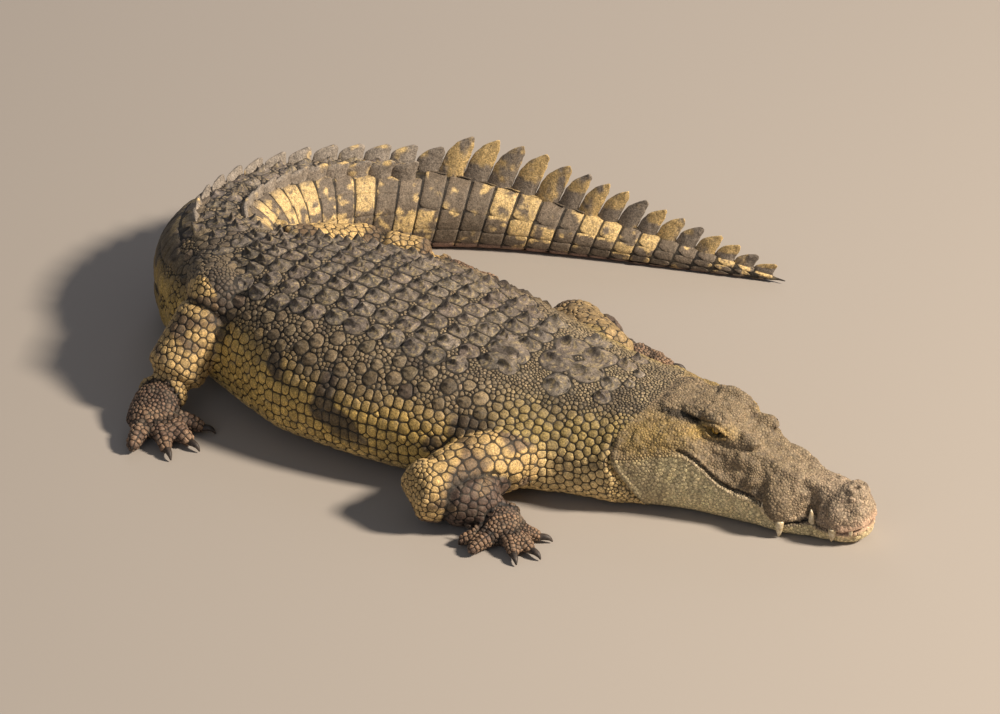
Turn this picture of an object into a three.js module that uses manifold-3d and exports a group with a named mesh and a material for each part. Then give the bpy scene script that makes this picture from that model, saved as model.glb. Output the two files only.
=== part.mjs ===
// A Nile crocodile lying on its belly with its tail bent round behind it, at life size.
// Units are millimetres, +Z is up, +X runs along the trunk towards the head, +Y is the animal's left.
// The body is swept along a spine that lies on the floor. Each place on it is given by its
// distance back from the tip of the snout, its offset to the left, and its height.
import * as THREE from "three";
import { mergeVertices } from "three/addons/utils/BufferGeometryUtils.js";
import Module from "manifold-3d";

const wasm = await Module();
wasm.setup();

// ---------- driving dimensions ----------
// The model is moved by this much, so that its box stands over the origin.
const CENTRE = [22.2, -53.9];
const SNOUT_TIP = [1164, -303];
const BODY_LENGTH = 3960;
const HEAD_END = 670;
const TRUNK_START = 935;
const TRUNK_END = 1940;
const TAIL_LENGTHS = 6;
const TAIL_SPAN = (BODY_LENGTH - TRUNK_END) / TAIL_LENGTHS;
const GAP = 0.3;
const LIMB_CLEARANCE = 1;
const SPINE_STEP = 10;
const HEAD_ROWS = 14;
const [SKULL_SIDES, JAW_SIDES] = [18, 14];
const [NECK_SIDES, NECK_ROWS] = [24, 4];
const [TRUNK_SIDES, TRUNK_ROWS] = [24, 8];
const [TAIL_SIDES, TAIL_ROWS] = [16, 4];
const OVERRUN = 5;

// Heading of the spine in degrees, by distance from the snout.
const HEADING = [
  [0, 0], [600, 0], [775, 3], [975, 3], [1265, -1], [1535, -1], [1745, -7.6], [1910, -23],
  [2070, -48], [2230, -75], [2462, -106], [2682, -134.5], [2948, -153.4], [3325, -166],
  [3960, -171],
];
// Half-width and top of the body behind the head, out to the tips of its scales.
const HALF_WIDTH = [
  [670, 238], [765, 254], [875, 290], [1005, 330], [1155, 362], [1325, 378], [1535, 368],
  [1695, 304], [1845, 240], [2005, 200], [2235, 172], [2505, 142], [2775, 114], [3095, 84],
  [3415, 55], [3720, 28], [3960, 6],
];
const TOP_HEIGHT = [
  [670, 286], [765, 298], [875, 312], [1005, 332], [1155, 356], [1325, 378], [1535, 390],
  [1695, 386], [1845, 370], [2005, 345], [2235, 310], [2505, 274], [2775, 240], [3095, 184],
  [3400, 122], [3710, 64], [3960, 14],
];
// Where the section is widest, as a share of its height: low on the slack belly.
const WIDEST = [
  [670, 0.42], [1000, 0.4], [1500, 0.38], [1900, 0.42], [2300, 0.46], [3960, 0.42],
];
const BACK_ROUNDNESS = [
  [670, 2.2], [1000, 2.1], [1500, 2.1], [2000, 2.1], [2600, 2], [3960, 1.7],
];
const BELLY_ROUNDNESS = 2.9;
const BELLY_PRESS = 9;

// The head: half-width and top of the skull, half-width of the lower jaw, height of the mouth.
const SKULL_WIDTH = [
  [0, 26], [13, 50], [40, 68], [72, 72], [107, 68], [139, 64], [174, 82], [208, 104], [241, 108],
  [283, 100], [325, 106], [382, 122], [439, 144], [506, 168], [573, 190], [630, 206], [670, 216],
];
const SKULL_TOP = [
  [0, 86], [10, 118], [31, 146], [72, 152], [107, 153], [153, 160], [220, 180], [286, 206],
  [344, 234], [401, 256], [478, 270], [573, 278], [670, 284],
];
const JAW_WIDTH = [
  [0, 18], [17, 44], [53, 62], [105, 72], [139, 80], [191, 94], [248, 106], [315, 118], [363, 128],
  [420, 144], [497, 170], [563, 196], [621, 218], [670, 234],
];
const MOUTH_HEIGHT = [
  [0, 58], [48, 44], [105, 44], [141, 57], [174, 47], [208, 43], [250, 66], [290, 98], [322, 106],
  [360, 118], [398, 146], [437, 184], [480, 204], [530, 200], [590, 184], [670, 178],
];
const SKULL_ROUNDNESS = [
  [0, 2.2], [191, 2.5], [315, 2.3], [430, 2.05], [670, 2.2],
];
const JAW_ROUNDNESS = 3.8;
const JAW_PRESS = 5;
const JAW_CHIN_LIFT = [
  [0, 16], [38, 4], [67, 0], [670, 0],
];

const EYE = { along: 412, aside: 70, height: 250, radius: 17 };
const BROW = { along: 432, aside: 64, height: 272, size: [66, 32, 32] };
const NOSTRIL = { along: 44, height: 136, size: [40, 38, 24] };
const TABLE = { front: 440, rear: 585, frontHalf: 60, rearHalf: 84, bottom: 225, top: 292 };

// Teeth that show with the mouth shut: every few centimetres, longest at the two bulges of the jaw.
const UPPER_TEETH = { first: 30, step: 52, count: 8, radius: 6.5, length: 15, inset: 3 };
const LONG_UPPER = [{ along: 75, extra: 13 }, { along: 210, extra: 20 }];
const LOWER_TEETH = [{ along: 12, length: 14 }, { along: 136, length: 34 }, { along: 260, length: 17 }];
const TOOTH_SIDES = 4;

// Upright scutes of the tail: two rows that lean outwards, then one row from where they meet.
const CREST = {
  first: 2050, meet: 2880, last: 3915, perLength: [5, 5, 5, 5, 6, 6],
  thickness: 15, sink: 34, foot: 4, lean: 0.6, spread: 0.36,
};
const CREST_FILL = 0.8;
const CREST_HEIGHT = [
  [2060, 18], [2400, 30], [2700, 36], [2890, 46], [2960, 104], [3080, 120], [3300, 98], [3590, 64],
  [3915, 22],
];

// Limbs: joints in the part's own frame, then radii along each length.
const LIMBS = [
  {
    name: "foreleg_right", joints: [[330, -420, 150], [142, -786, 100], [300, -712, 64]],
    foot: [352, -766, 36],
    toes: [[436, -730], [452, -800], [420, -842], [312, -886], [262, -856]], front: true,
  },
  {
    name: "foreleg_left", joints: [[250, -60, 135], [30, 160, 70], [164, 156, 57]],
    foot: [220, 168, 33],
    toes: [[314, 142], [325, 174], [316, 204], [266, 230], [212, 232]], front: true,
  },
  {
    name: "hindleg_right", joints: [[-790, -280, 220], [-690, -474, 284], [-744, -640, 92]],
    foot: [-738, -742, 48],
    toes: [[-600, -700], [-588, -782], [-622, -846], [-708, -892]], front: false,
  },
  {
    name: "hindleg_left", joints: [[-770, -40, 140], [-655, 190, 102], [-484, 262, 66]],
    foot: [-398, 288, 38],
    toes: [[-306, 222], [-272, 268], [-276, 320], [-322, 364]], front: false,
  },
];
const UPPER_RADII = { front: [98, 94, 86], hind: [116, 104, 84] };
const LOWER_RADII = { front: [88, 82, 56], hind: [82, 82, 86] };
const FOOT_RADII = { front: [54, 58, 44], hind: [76, 68, 50] };
const FOOT_FLATNESS = 0.68;
const TOE_RADII = { front: [25, 22, 15], hind: [30, 26, 17] };
const CLAWED_TOES = 3;
const CLAW = { length: 29, radius: 10 };

// ---------- curves ----------
// A smooth line through knots [at, value] that never swings past them.
function throughKnots(knots) {
  const last = knots.length - 1;
  const slopes = knots.slice(1).map(([x, y], i) => (y - knots[i][1]) / (x - knots[i][0]));
  const tangents = knots.map((_, i) => {
    if (i === 0) return slopes[0];
    if (i === last) return slopes[last - 1];
    const [before, after] = [slopes[i - 1], slopes[i]];
    return before * after <= 0 ? 0 : (2 * before * after) / (before + after);
  });
  return (x) => {
    const at = THREE.MathUtils.clamp(x, knots[0][0], knots[last][0]);
    let i = 0;
    while (i < last - 1 && at > knots[i + 1][0]) i += 1;
    const width = knots[i + 1][0] - knots[i][0];
    const t = (at - knots[i][0]) / width;
    const rest = 1 - t;
    return (
      knots[i][1] * rest * rest * (1 + 2 * t) + tangents[i] * width * t * rest * rest +
      knots[i + 1][1] * t * t * (3 - 2 * t) - tangents[i + 1] * width * t * t * rest
    );
  };
}

const headingAt = throughKnots(HEADING);
const halfWidthAt = throughKnots(HALF_WIDTH);
const topAt = throughKnots(TOP_HEIGHT);
const widestAt = throughKnots(WIDEST);
const backRoundnessAt = throughKnots(BACK_ROUNDNESS);
const skullWidthAt = throughKnots(SKULL_WIDTH);
const skullTopAt = throughKnots(SKULL_TOP);
const skullRoundnessAt = throughKnots(SKULL_ROUNDNESS);
const jawWidthAt = throughKnots(JAW_WIDTH);
const mouthAt = throughKnots(MOUTH_HEIGHT);
const chinLiftAt = throughKnots(JAW_CHIN_LIFT);
const crestHeightAt = throughKnots(CREST_HEIGHT);

function forwardAt(along) {
  const angle = THREE.MathUtils.degToRad(headingAt(along));
  return new THREE.Vector3(Math.cos(angle), Math.sin(angle), 0);
}

// The spine, walked backwards from the snout in short steps.
const spine = [new THREE.Vector3(...SNOUT_TIP, 0)];
for (let along = 0; along < BODY_LENGTH; along += SPINE_STEP) {
  const stride = forwardAt(along + SPINE_STEP / 2).multiplyScalar(-SPINE_STEP);
  spine.push(spine[spine.length - 1].clone().add(stride));
}

function bodyPoint(along, aside, height) {
  const step = THREE.MathUtils.clamp(along / SPINE_STEP, 0, spine.length - 1.001);
  const index = Math.floor(step);
  const place = spine[index].clone().lerp(spine[index + 1], step - index);
  const forward = forwardAt(along);
  place.x -= forward.y * aside;
  place.y += forward.x * aside;
  place.z = height;
  return place;
}

function rounded(value, power) {
  return Math.sign(value) * Math.abs(value) ** (2 / power);
}

// ---------- solids ----------
function toSolid(geometry) {
  const bare = geometry.clone();
  bare.deleteAttribute("normal");
  bare.deleteAttribute("uv");
  const merged = mergeVertices(bare, 1e-4);
  return new wasm.Manifold(new wasm.Mesh({
    numProp: 3,
    vertProperties: new Float32Array(merged.attributes.position.array),
    triVerts: new Uint32Array(merged.index.array),
  }));
}

function toGeometry(solid) {
  const mesh = solid.getMesh();
  const geometry = new THREE.BufferGeometry();
  geometry.setAttribute("position", new THREE.BufferAttribute(mesh.vertProperties, 3));
  geometry.setIndex(new THREE.BufferAttribute(mesh.triVerts, 1));
  geometry.computeVertexNormals();
  return geometry;
}

function largest(solid) {
  return solid.decompose().reduce((best, next) => (next.volume() > best.volume() ? next : best));
}

function joined(solids) {
  return solids.reduce((sum, next) => sum.add(next));
}

// A cylinder whose wall and caps are moved to shape(share of length, angle, share of radius).
// The angle runs from the left side up over the top.
function moulded(sides, rows, shape) {
  const geometry = new THREE.CylinderGeometry(1, 1, 1, sides, rows);
  const position = geometry.attributes.position;
  for (let i = 0; i < position.count; i += 1) {
    const angle = Math.atan2(position.getX(i), position.getZ(i));
    const spread = Math.min(1, Math.hypot(position.getX(i), position.getZ(i)));
    const place = shape(0.5 - position.getY(i), angle, spread < 1e-6 ? 0 : spread);
    position.setXYZ(i, place.x, place.y, place.z);
  }
  return toSolid(geometry);
}

function bodySection(along, angle, grow) {
  const top = topAt(along);
  const widest = top * widestAt(along);
  const up = Math.sin(angle);
  const power = up >= 0 ? backRoundnessAt(along) : BELLY_ROUNDNESS;
  const reach = up >= 0 ? top + grow - widest : widest + BELLY_PRESS;
  return [
    (halfWidthAt(along) + grow) * rounded(Math.cos(angle), power),
    Math.max(0, widest + reach * rounded(up, power)),
  ];
}

// One length of the body between two places on the spine.
function bodyLength(from, to, sides, rows, grow = 0) {
  return moulded(sides, rows, (share, angle, spread) => {
    const along = from + (to - from) * share;
    const [aside, height] = bodySection(along, angle, grow);
    const middle = topAt(along) * 0.5;
    return bodyPoint(along, aside * spread, middle + (height - middle) * spread);
  });
}

// Rows of the head stand closer together towards the snout.
const headAlong = (share) => HEAD_END * share ** 1.7;

function skullLoft() {
  return moulded(SKULL_SIDES, HEAD_ROWS, (share, angle, spread) => {
    const along = headAlong(share) - GAP * share;
    const floor = mouthAt(along) + GAP / 2;
    const up = Math.max(0, Math.sin(angle));
    const power = skullRoundnessAt(along);
    const aside = skullWidthAt(along) * rounded(Math.cos(angle), up > 0 ? power : 4);
    const height = floor + (skullTopAt(along) - floor) * rounded(up, power);
    const middle = floor + (skullTopAt(along) - floor) * 0.4;
    return bodyPoint(along, aside * spread, middle + (height - middle) * spread);
  });
}

function jawLoft() {
  return moulded(JAW_SIDES, HEAD_ROWS, (share, angle, spread) => {
    const along = headAlong(share) - GAP * share;
    const ceiling = mouthAt(along) - GAP / 2;
    const bottom = chinLiftAt(along);
    const down = Math.min(0, Math.sin(angle));
    const depth = ceiling - bottom + JAW_PRESS;
    const aside = jawWidthAt(along) * rounded(Math.cos(angle), down < 0 ? JAW_ROUNDNESS : 4);
    const height = Math.max(bottom, ceiling + depth * rounded(down, JAW_ROUNDNESS));
    const middle = (ceiling + bottom) / 2;
    return bodyPoint(along, aside * spread, middle + (height - middle) * spread);
  });
}

// An ellipsoid on the head, its size given along, across and up.
function headBump(along, aside, height, size, detail = [8, 5]) {
  const geometry = new THREE.SphereGeometry(1, ...detail);
  geometry.scale(size[0], size[1], size[2]);
  geometry.rotateZ(THREE.MathUtils.degToRad(headingAt(along)));
  geometry.translate(...bodyPoint(along, aside, height).toArray());
  return toSolid(geometry);
}

// The flat roof of the skull behind the eyes, wider at its back.
function skullTable() {
  const outline = new THREE.Shape();
  const corners = [
    [TABLE.front, TABLE.frontHalf], [TABLE.rear, TABLE.rearHalf],
    [TABLE.rear, -TABLE.rearHalf], [TABLE.front, -TABLE.frontHalf],
  ];
  corners.forEach(([along, aside], i) => {
    const place = bodyPoint(along, aside, 0);
    if (i === 0) outline.moveTo(place.x, place.y);
    else outline.lineTo(place.x, place.y);
  });
  outline.closePath();
  const bevel = 10;
  const geometry = new THREE.ExtrudeGeometry(outline, {
    depth: TABLE.top - TABLE.bottom - bevel, bevelEnabled: true, bevelThickness: bevel,
    bevelSize: bevel, bevelOffset: -bevel, bevelSegments: 1,
  });
  geometry.translate(0, 0, TABLE.bottom);
  return toSolid(geometry);
}

// A cone rooted in the jaw. A negative length points it down.
function tooth(along, aside, height, radius, length, grow = 0) {
  const root = 9;
  const cone = new THREE.ConeGeometry(radius + grow, Math.abs(length) + root + grow, TOOTH_SIDES);
  cone.rotateX(length > 0 ? Math.PI / 2 : -Math.PI / 2);
  const centre = height + Math.sign(length) * (Math.abs(length) + grow - root) / 2;
  cone.translate(...bodyPoint(along, aside, centre).toArray());
  return toSolid(cone);
}

function upperTeeth(grow = 0) {
  const teeth = [];
  for (let i = 0; i < UPPER_TEETH.count; i += 1) {
    const along = UPPER_TEETH.first + i * UPPER_TEETH.step;
    const near = LONG_UPPER.find((long) => Math.abs(long.along - along) < UPPER_TEETH.step / 2);
    const place = near ? near.along : along;
    const length = UPPER_TEETH.length + (near ? near.extra : 0);
    const radius = UPPER_TEETH.radius + (near ? 2.5 : 0);
    for (const side of [1, -1]) {
      const aside = side * (skullWidthAt(place) - radius - UPPER_TEETH.inset);
      teeth.push(tooth(place, aside, mouthAt(place), radius, -length, grow));
    }
  }
  return joined(teeth);
}

function lowerTeeth(grow = 0) {
  const teeth = [];
  for (const { along, length } of LOWER_TEETH) {
    const radius = 4 + length / 7;
    for (const side of [1, -1]) {
      const aside = side * (jawWidthAt(along) - radius - 1);
      teeth.push(tooth(along, aside, mouthAt(along), radius, length, grow));
    }
  }
  return joined(teeth);
}

// One upright scute: a blade that leans back, standing on the ridge of the tail.
function crestBlade(along, side, length) {
  const height = crestHeightAt(along);
  const paired = side !== 0;
  const sink = Math.min(CREST.sink, topAt(along) * 0.5);
  const outline = new THREE.Shape();
  outline.moveTo(length * 0.5, -sink);
  outline.lineTo(length * 0.5, CREST.foot);
  outline.lineTo(length * 0.5 - height * CREST.lean * 0.5, height * 0.6);
  outline.lineTo(-height * CREST.lean - length * 0.12, height);
  outline.lineTo(-length * 0.5, CREST.foot);
  outline.lineTo(-length * 0.5, -sink);
  outline.closePath();
  const thickness = Math.min(CREST.thickness, halfWidthAt(along) * 0.6);
  const blade = new THREE.ExtrudeGeometry(outline, { depth: thickness, bevelEnabled: false });
  blade.translate(0, 0, -thickness / 2);
  blade.rotateX(Math.PI / 2);
  blade.rotateX(-side * 0.35);
  blade.rotateZ(THREE.MathUtils.degToRad(headingAt(along)));
  const aside = side * halfWidthAt(along) * CREST.spread * (paired ? 1 : 0);
  const drop = paired ? topAt(along) * 0.05 : 4;
  blade.translate(...bodyPoint(along, aside, topAt(along) - drop).toArray());
  return toSolid(blade);
}

// The blades of one length of the tail, evenly spaced along it.
function crestBlades(from, count) {
  const step = TAIL_SPAN / count;
  const blades = [];
  for (let i = 0; i < count; i += 1) {
    const along = from + (i + 0.5) * step;
    if (along < CREST.first || along > CREST.last) continue;
    const sides = along < CREST.meet ? [1, -1] : [0];
    for (const side of sides) blades.push(crestBlade(along, side, step * CREST_FILL));
  }
  return blades;
}

// A limb length along a smooth line, round in section, flattened where it meets the floor.
function limbLength(points, radii, sides, rows, grow = 0, flatness = 1) {
  const line = new THREE.CatmullRomCurve3(points.map((p) => new THREE.Vector3(...p)));
  const radiusAt = throughKnots(radii.map((r, i) => [i / (radii.length - 1), r]));
  const up = new THREE.Vector3(0, 0, 1);
  return moulded(sides, rows, (share, angle, spread) => {
    const centre = line.getPoint(share);
    const back = line.getTangent(share).negate();
    const left = new THREE.Vector3().crossVectors(up, back).normalize();
    const top = new THREE.Vector3().crossVectors(back, left).normalize();
    const endShare = Math.min(share, 1 - share) * rows;
    const cap = endShare < 0.01 ? 0.55 : 1;
    const radius = (radiusAt(share) * cap + grow) * spread;
    centre.addScaledVector(left, Math.cos(angle) * radius);
    centre.addScaledVector(top, Math.sin(angle) * radius * flatness);
    centre.z = Math.max(0, centre.z);
    return centre;
  });
}

function towards(from, to, share) {
  return from.map((value, i) => value + (to[i] - value) * share);
}

// The foot from the wrist or ankle to the roots of the toes, wider than it is high.
function sole(limb) {
  const radii = limb.front ? FOOT_RADII.front : FOOT_RADII.hind;
  const [start, middle] = [limb.joints[2], limb.foot];
  const end = [middle[0] * 1.6 - start[0] * 0.6, middle[1] * 1.6 - start[1] * 0.6, middle[2] * 0.75];
  return limbLength([start, middle, end], radii, 10, 3, 0, FOOT_FLATNESS);
}

function toe(limb, tip, grow = 0) {
  const radii = limb.front ? TOE_RADII.front : TOE_RADII.hind;
  const end = [tip[0], tip[1], radii[2] * 0.8];
  const root = towards([limb.foot[0], limb.foot[1], limb.foot[2] * 0.85], end, 0.2);
  const knuckle = towards(root, end, 0.55);
  knuckle[2] += radii[0] * 0.35;
  return limbLength([root, knuckle, end], radii, 6, 2, grow);
}

// A claw continues its toe, curving down to a point just over the floor.
function claw(limb, tip) {
  const radii = limb.front ? TOE_RADII.front : TOE_RADII.hind;
  const from = new THREE.Vector2(limb.foot[0], limb.foot[1]);
  const ahead = new THREE.Vector2(tip[0], tip[1]).sub(from).normalize();
  const place = (distance, height) => [
    tip[0] + ahead.x * distance, tip[1] + ahead.y * distance, height,
  ];
  const points = [place(-8, radii[2] * 0.95), place(CLAW.length * 0.45, radii[2]), place(CLAW.length, 3)];
  return limbLength(points, [CLAW.radius, CLAW.radius * 0.72, 2.2], 5, 3);
}

// ---------- the model ----------
const model = new THREE.Group();
const finishes = {
  hide: new THREE.MeshStandardMaterial({ color: 0x7b7150, roughness: 0.75, metalness: 0 }),
  eye: new THREE.MeshStandardMaterial({ color: 0x8a7f3a, roughness: 0.15, metalness: 0 }),
  claw: new THREE.MeshStandardMaterial({ color: 0x2e2823, roughness: 0.5, metalness: 0 }),
};

function addNode(name, solid, finish) {
  const geometry = toGeometry(solid).translate(-CENTRE[0], -CENTRE[1], 0);
  const mesh = new THREE.Mesh(geometry, finishes[finish].clone());
  mesh.name = name;
  model.add(mesh);
}

function eyeBall(side, grow = 0) {
  const radius = EYE.radius + grow;
  return headBump(EYE.along, side * EYE.aside, EYE.height, [radius, radius, radius], [12, 8]);
}

const SIDES = [["left", 1], ["right", -1]];

function buildHead() {
  const brows = SIDES.map(([, side]) => headBump(BROW.along, side * BROW.aside, BROW.height, BROW.size));
  const nose = headBump(NOSTRIL.along, 0, NOSTRIL.height, NOSTRIL.size);
  const sockets = joined(SIDES.map(([, side]) => eyeBall(side, GAP)));
  const skull = joined([skullLoft(), ...brows, nose, skullTable(), upperTeeth()]);
  addNode("head", largest(skull.subtract(sockets).subtract(lowerTeeth(GAP))), "hide");
  const jaw = jawLoft().add(lowerTeeth()).subtract(upperTeeth(GAP));
  addNode("lower_jaw", largest(jaw), "hide");
  for (const [name, side] of SIDES) addNode(`eye_${name}`, eyeBall(side), "eye");
}

function buildBody() {
  addNode("neck", bodyLength(HEAD_END, TRUNK_START - GAP, NECK_SIDES, NECK_ROWS), "hide");
  addNode("trunk", bodyLength(TRUNK_START, TRUNK_END - GAP, TRUNK_SIDES, TRUNK_ROWS), "hide");
  for (let i = 0; i < TAIL_LENGTHS; i += 1) {
    const from = TRUNK_END + i * TAIL_SPAN;
    const to = from + TAIL_SPAN - (i < TAIL_LENGTHS - 1 ? GAP : 0);
    const length = bodyLength(from, to, TAIL_SIDES - 2 * Math.max(0, i - 2), TAIL_ROWS);
    const crest = crestBlades(from, CREST.perLength[i]);
    addNode(`tail_${i + 1}`, largest(joined([length, ...crest])), "hide");
  }
}

function buildLimb(limb) {
  const [root, middle, end] = limb.joints;
  const kind = limb.front ? "front" : "hind";
  const body = joined([
    bodyLength(HEAD_END, TRUNK_START + OVERRUN, NECK_SIDES, NECK_ROWS, LIMB_CLEARANCE),
    bodyLength(TRUNK_START, TRUNK_END + OVERRUN, TRUNK_SIDES, TRUNK_ROWS, LIMB_CLEARANCE),
    bodyLength(TRUNK_END, TRUNK_END + 2 * TAIL_SPAN, TAIL_SIDES, 2 * TAIL_ROWS, LIMB_CLEARANCE),
  ]);
  const upper = (grow) => limbLength([root, middle], UPPER_RADII[kind], 12, 4, grow);
  const lower = (grow) => limbLength([middle, end], LOWER_RADII[kind], 12, 4, grow);
  addNode(`${limb.name}_upper`, largest(upper(0).subtract(body)), "hide");
  addNode(`${limb.name}_lower`, largest(lower(0).subtract(upper(GAP)).subtract(body)), "hide");
  const toes = limb.toes.map((tip) => toe(limb, tip));
  const foot = joined([sole(limb), ...toes]).subtract(lower(GAP)).subtract(upper(GAP)).subtract(body);
  addNode(`${limb.name}_foot`, largest(foot), "hide");
  limb.toes.slice(0, CLAWED_TOES).forEach((tip, i) => {
    const bare = claw(limb, tip).subtract(toe(limb, tip, GAP));
    addNode(`claw_${limb.name}_${i + 1}`, largest(bare), "claw");
  });
}

buildHead();
buildBody();
LIMBS.forEach(buildLimb);

export default model;
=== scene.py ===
"""A life-size Nile crocodile on its belly: skin, scales, crest, eyes, teeth and claws over the CAD frame.

Sizes are in millimetres, as in the CAD source, and are turned to metres once, where a mesh is written.
A place on the animal is given by its distance back from the snout, its offset to the left and its height.
"""

import logging
import math
from dataclasses import dataclass, field, fields
from enum import Enum
from typing import Callable, Iterable, Optional, Sequence

import bmesh
import bpy
import numpy as np
from mathutils import Matrix, Vector
from mathutils.bvhtree import BVHTree
from mathutils.kdtree import KDTree


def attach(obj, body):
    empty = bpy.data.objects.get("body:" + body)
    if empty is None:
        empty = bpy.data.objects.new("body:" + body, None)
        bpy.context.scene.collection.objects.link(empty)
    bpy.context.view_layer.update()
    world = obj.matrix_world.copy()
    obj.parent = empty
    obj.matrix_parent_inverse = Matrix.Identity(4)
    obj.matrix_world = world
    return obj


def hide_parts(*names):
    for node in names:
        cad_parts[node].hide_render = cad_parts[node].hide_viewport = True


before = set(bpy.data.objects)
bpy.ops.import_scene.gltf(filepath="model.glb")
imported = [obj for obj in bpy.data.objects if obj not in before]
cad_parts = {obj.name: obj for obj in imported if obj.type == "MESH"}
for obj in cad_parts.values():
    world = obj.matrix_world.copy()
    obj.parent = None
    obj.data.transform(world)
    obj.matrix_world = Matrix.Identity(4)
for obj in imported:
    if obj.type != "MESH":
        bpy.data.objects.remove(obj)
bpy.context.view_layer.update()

log = logging.getLogger("crocodile")
Array = np.ndarray
MM = 0.001
SEED = 20
UP = np.array([0.0, 0.0, 1.0])

# ---------- sizes shared with the CAD source ----------
CENTRE = (22.2, -53.9)
SNOUT_TIP = (1164.0, -303.0)
BODY_LENGTH = 3960.0
HEAD_END = 670.0
SPINE_STEP = 10.0
HEADING = [
    (0, 0), (600, 0), (775, 3), (975, 3), (1265, -1), (1535, -1), (1745, -7.6), (1910, -23),
    (2070, -48), (2230, -75), (2462, -106), (2682, -134.5), (2948, -153.4), (3325, -166), (3960, -171),
]
HALF_WIDTH = [
    (670, 238), (765, 254), (875, 290), (1005, 330), (1155, 362), (1325, 378), (1535, 368),
    (1695, 304), (1845, 240), (2005, 200), (2235, 172), (2505, 142), (2775, 114), (3095, 84),
    (3415, 55), (3720, 28), (3960, 6),
]
TOP_HEIGHT = [
    (670, 286), (765, 298), (875, 312), (1005, 332), (1155, 356), (1325, 378), (1535, 390),
    (1695, 386), (1845, 370), (2005, 345), (2235, 310), (2505, 274), (2775, 240), (3095, 184),
    (3400, 122), (3710, 64), (3960, 14),
]
WIDEST = [(670, 0.42), (1000, 0.4), (1500, 0.38), (1900, 0.42), (2300, 0.46), (3960, 0.42)]
BACK_ROUNDNESS = [(670, 2.2), (1000, 2.1), (1500, 2.1), (2000, 2.1), (2600, 2), (3960, 1.7)]
BELLY_ROUNDNESS = 2.9
BELLY_PRESS = 9.0
SKULL_WIDTH = [
    (0, 26), (13, 50), (40, 68), (72, 72), (107, 68), (139, 64), (174, 82), (208, 104), (241, 108),
    (283, 100), (325, 106), (382, 122), (439, 144), (506, 168), (573, 190), (630, 206), (670, 216),
]
SKULL_TOP = [
    (0, 86), (10, 118), (31, 146), (72, 152), (107, 153), (153, 160), (220, 180), (286, 206),
    (344, 234), (401, 256), (478, 270), (573, 278), (670, 284),
]
JAW_WIDTH = [
    (0, 18), (17, 44), (53, 62), (105, 72), (139, 80), (191, 94), (248, 106), (315, 118), (363, 128),
    (420, 144), (497, 170), (563, 196), (621, 218), (670, 234),
]
MOUTH_HEIGHT = [
    (0, 58), (48, 44), (105, 44), (141, 57), (174, 47), (208, 43), (250, 66), (290, 98), (322, 106),
    (360, 118), (398, 146), (437, 184), (480, 204), (530, 200), (590, 184), (670, 178),
]
SKULL_ROUNDNESS = [(0, 2.2), (191, 2.5), (315, 2.3), (430, 2.05), (670, 2.2)]
JAW_ROUNDNESS = 3.8
JAW_PRESS = 5.0
JAW_CHIN_LIFT = [(0, 16), (38, 4), (67, 0), (670, 0)]
EYE = {"along": 412.0, "aside": 70.0, "height": 250.0, "radius": 17.0}
BROW = {"along": 432.0, "aside": 64.0, "height": 272.0, "size": (66.0, 32.0, 32.0)}
NOSTRIL = {"along": 44.0, "height": 136.0, "size": (40.0, 38.0, 24.0)}
TABLE = {"front": 440.0, "rear": 585.0, "front_half": 60.0, "rear_half": 84.0, "bottom": 225.0, "top": 292.0}
CREST_HEIGHT = [
    (2060, 18), (2400, 30), (2700, 36), (2890, 46), (2960, 104), (3080, 120), (3300, 98), (3590, 64),
    (3915, 22),
]
CREST_FIRST, CREST_MEET, CREST_LAST = 2050.0, 2880.0, 3915.0
TRUNK_END = 1940.0
TAIL_LENGTHS = 6
CREST_PER_LENGTH = (5, 5, 5, 5, 6, 6)
LIMBS = {
    "foreleg_right": {
        "joints": [(330, -420, 150), (142, -786, 100), (300, -712, 64)], "foot": (352, -766, 36),
        "toes": [(436, -730), (452, -800), (420, -842), (312, -886), (262, -856)], "front": True,
    },
    "foreleg_left": {
        "joints": [(250, -60, 135), (30, 160, 70), (164, 156, 57)], "foot": (220, 168, 33),
        "toes": [(314, 142), (325, 174), (316, 204), (266, 230), (212, 232)], "front": True,
    },
    "hindleg_right": {
        "joints": [(-790, -280, 220), (-690, -474, 284), (-744, -640, 92)], "foot": (-738, -742, 48),
        "toes": [(-600, -700), (-588, -782), (-622, -846), (-708, -892)], "front": False,
    },
    "hindleg_left": {
        "joints": [(-770, -40, 140), (-655, 190, 102), (-484, 262, 66)], "foot": (-398, 288, 38),
        "toes": [(-306, 222), (-272, 268), (-276, 320), (-322, 364)], "front": False,
    },
}
UPPER_RADII = {True: (98, 94, 86), False: (116, 104, 84)}
LOWER_RADII = {True: (88, 82, 56), False: (82, 82, 86)}
FOOT_RADII = {True: (54, 58, 44), False: (76, 68, 50)}
TOE_RADII = {True: (25, 22, 15), False: (30, 26, 17)}
FOOT_FLATNESS = 0.68
CLAWED_TOES = 3
CLAW_LENGTH = 29.0
CLAW_RADIUS = 10.0

# ---------- borders between the regions of the hide ----------
NECK_END = 950.0
TAIL_START = 2000.0
# A place belongs to a leg if it is this far out, as a share of the body's half width, and this near the leg's
# line, in mean radii.
BODY_SHARE = 0.93
LIMB_REACH = 2.4
# The spread of a scale whose sides are bounded by its neighbours only.
FREE = 999.0


# ---------- helpers ----------
def linear(code: str) -> tuple[float, float, float, float]:
    """Turns an sRGB hex colour to linear light.

    Args:
        code: six hex digits, with or without a leading mark.

    Returns:
        Red, green, blue and an alpha of one.
    """
    parts = [int(code.lstrip("#")[i:i + 2], 16) / 255 for i in (0, 2, 4)]
    low = [c / 12.92 if c <= 0.04045 else ((c + 0.055) / 1.055) ** 2.4 for c in parts]
    return (low[0], low[1], low[2], 1.0)


def shade(code: str) -> Array:
    """Returns a hex colour as a linear array of three."""
    return np.array(linear(code)[:3])


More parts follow.
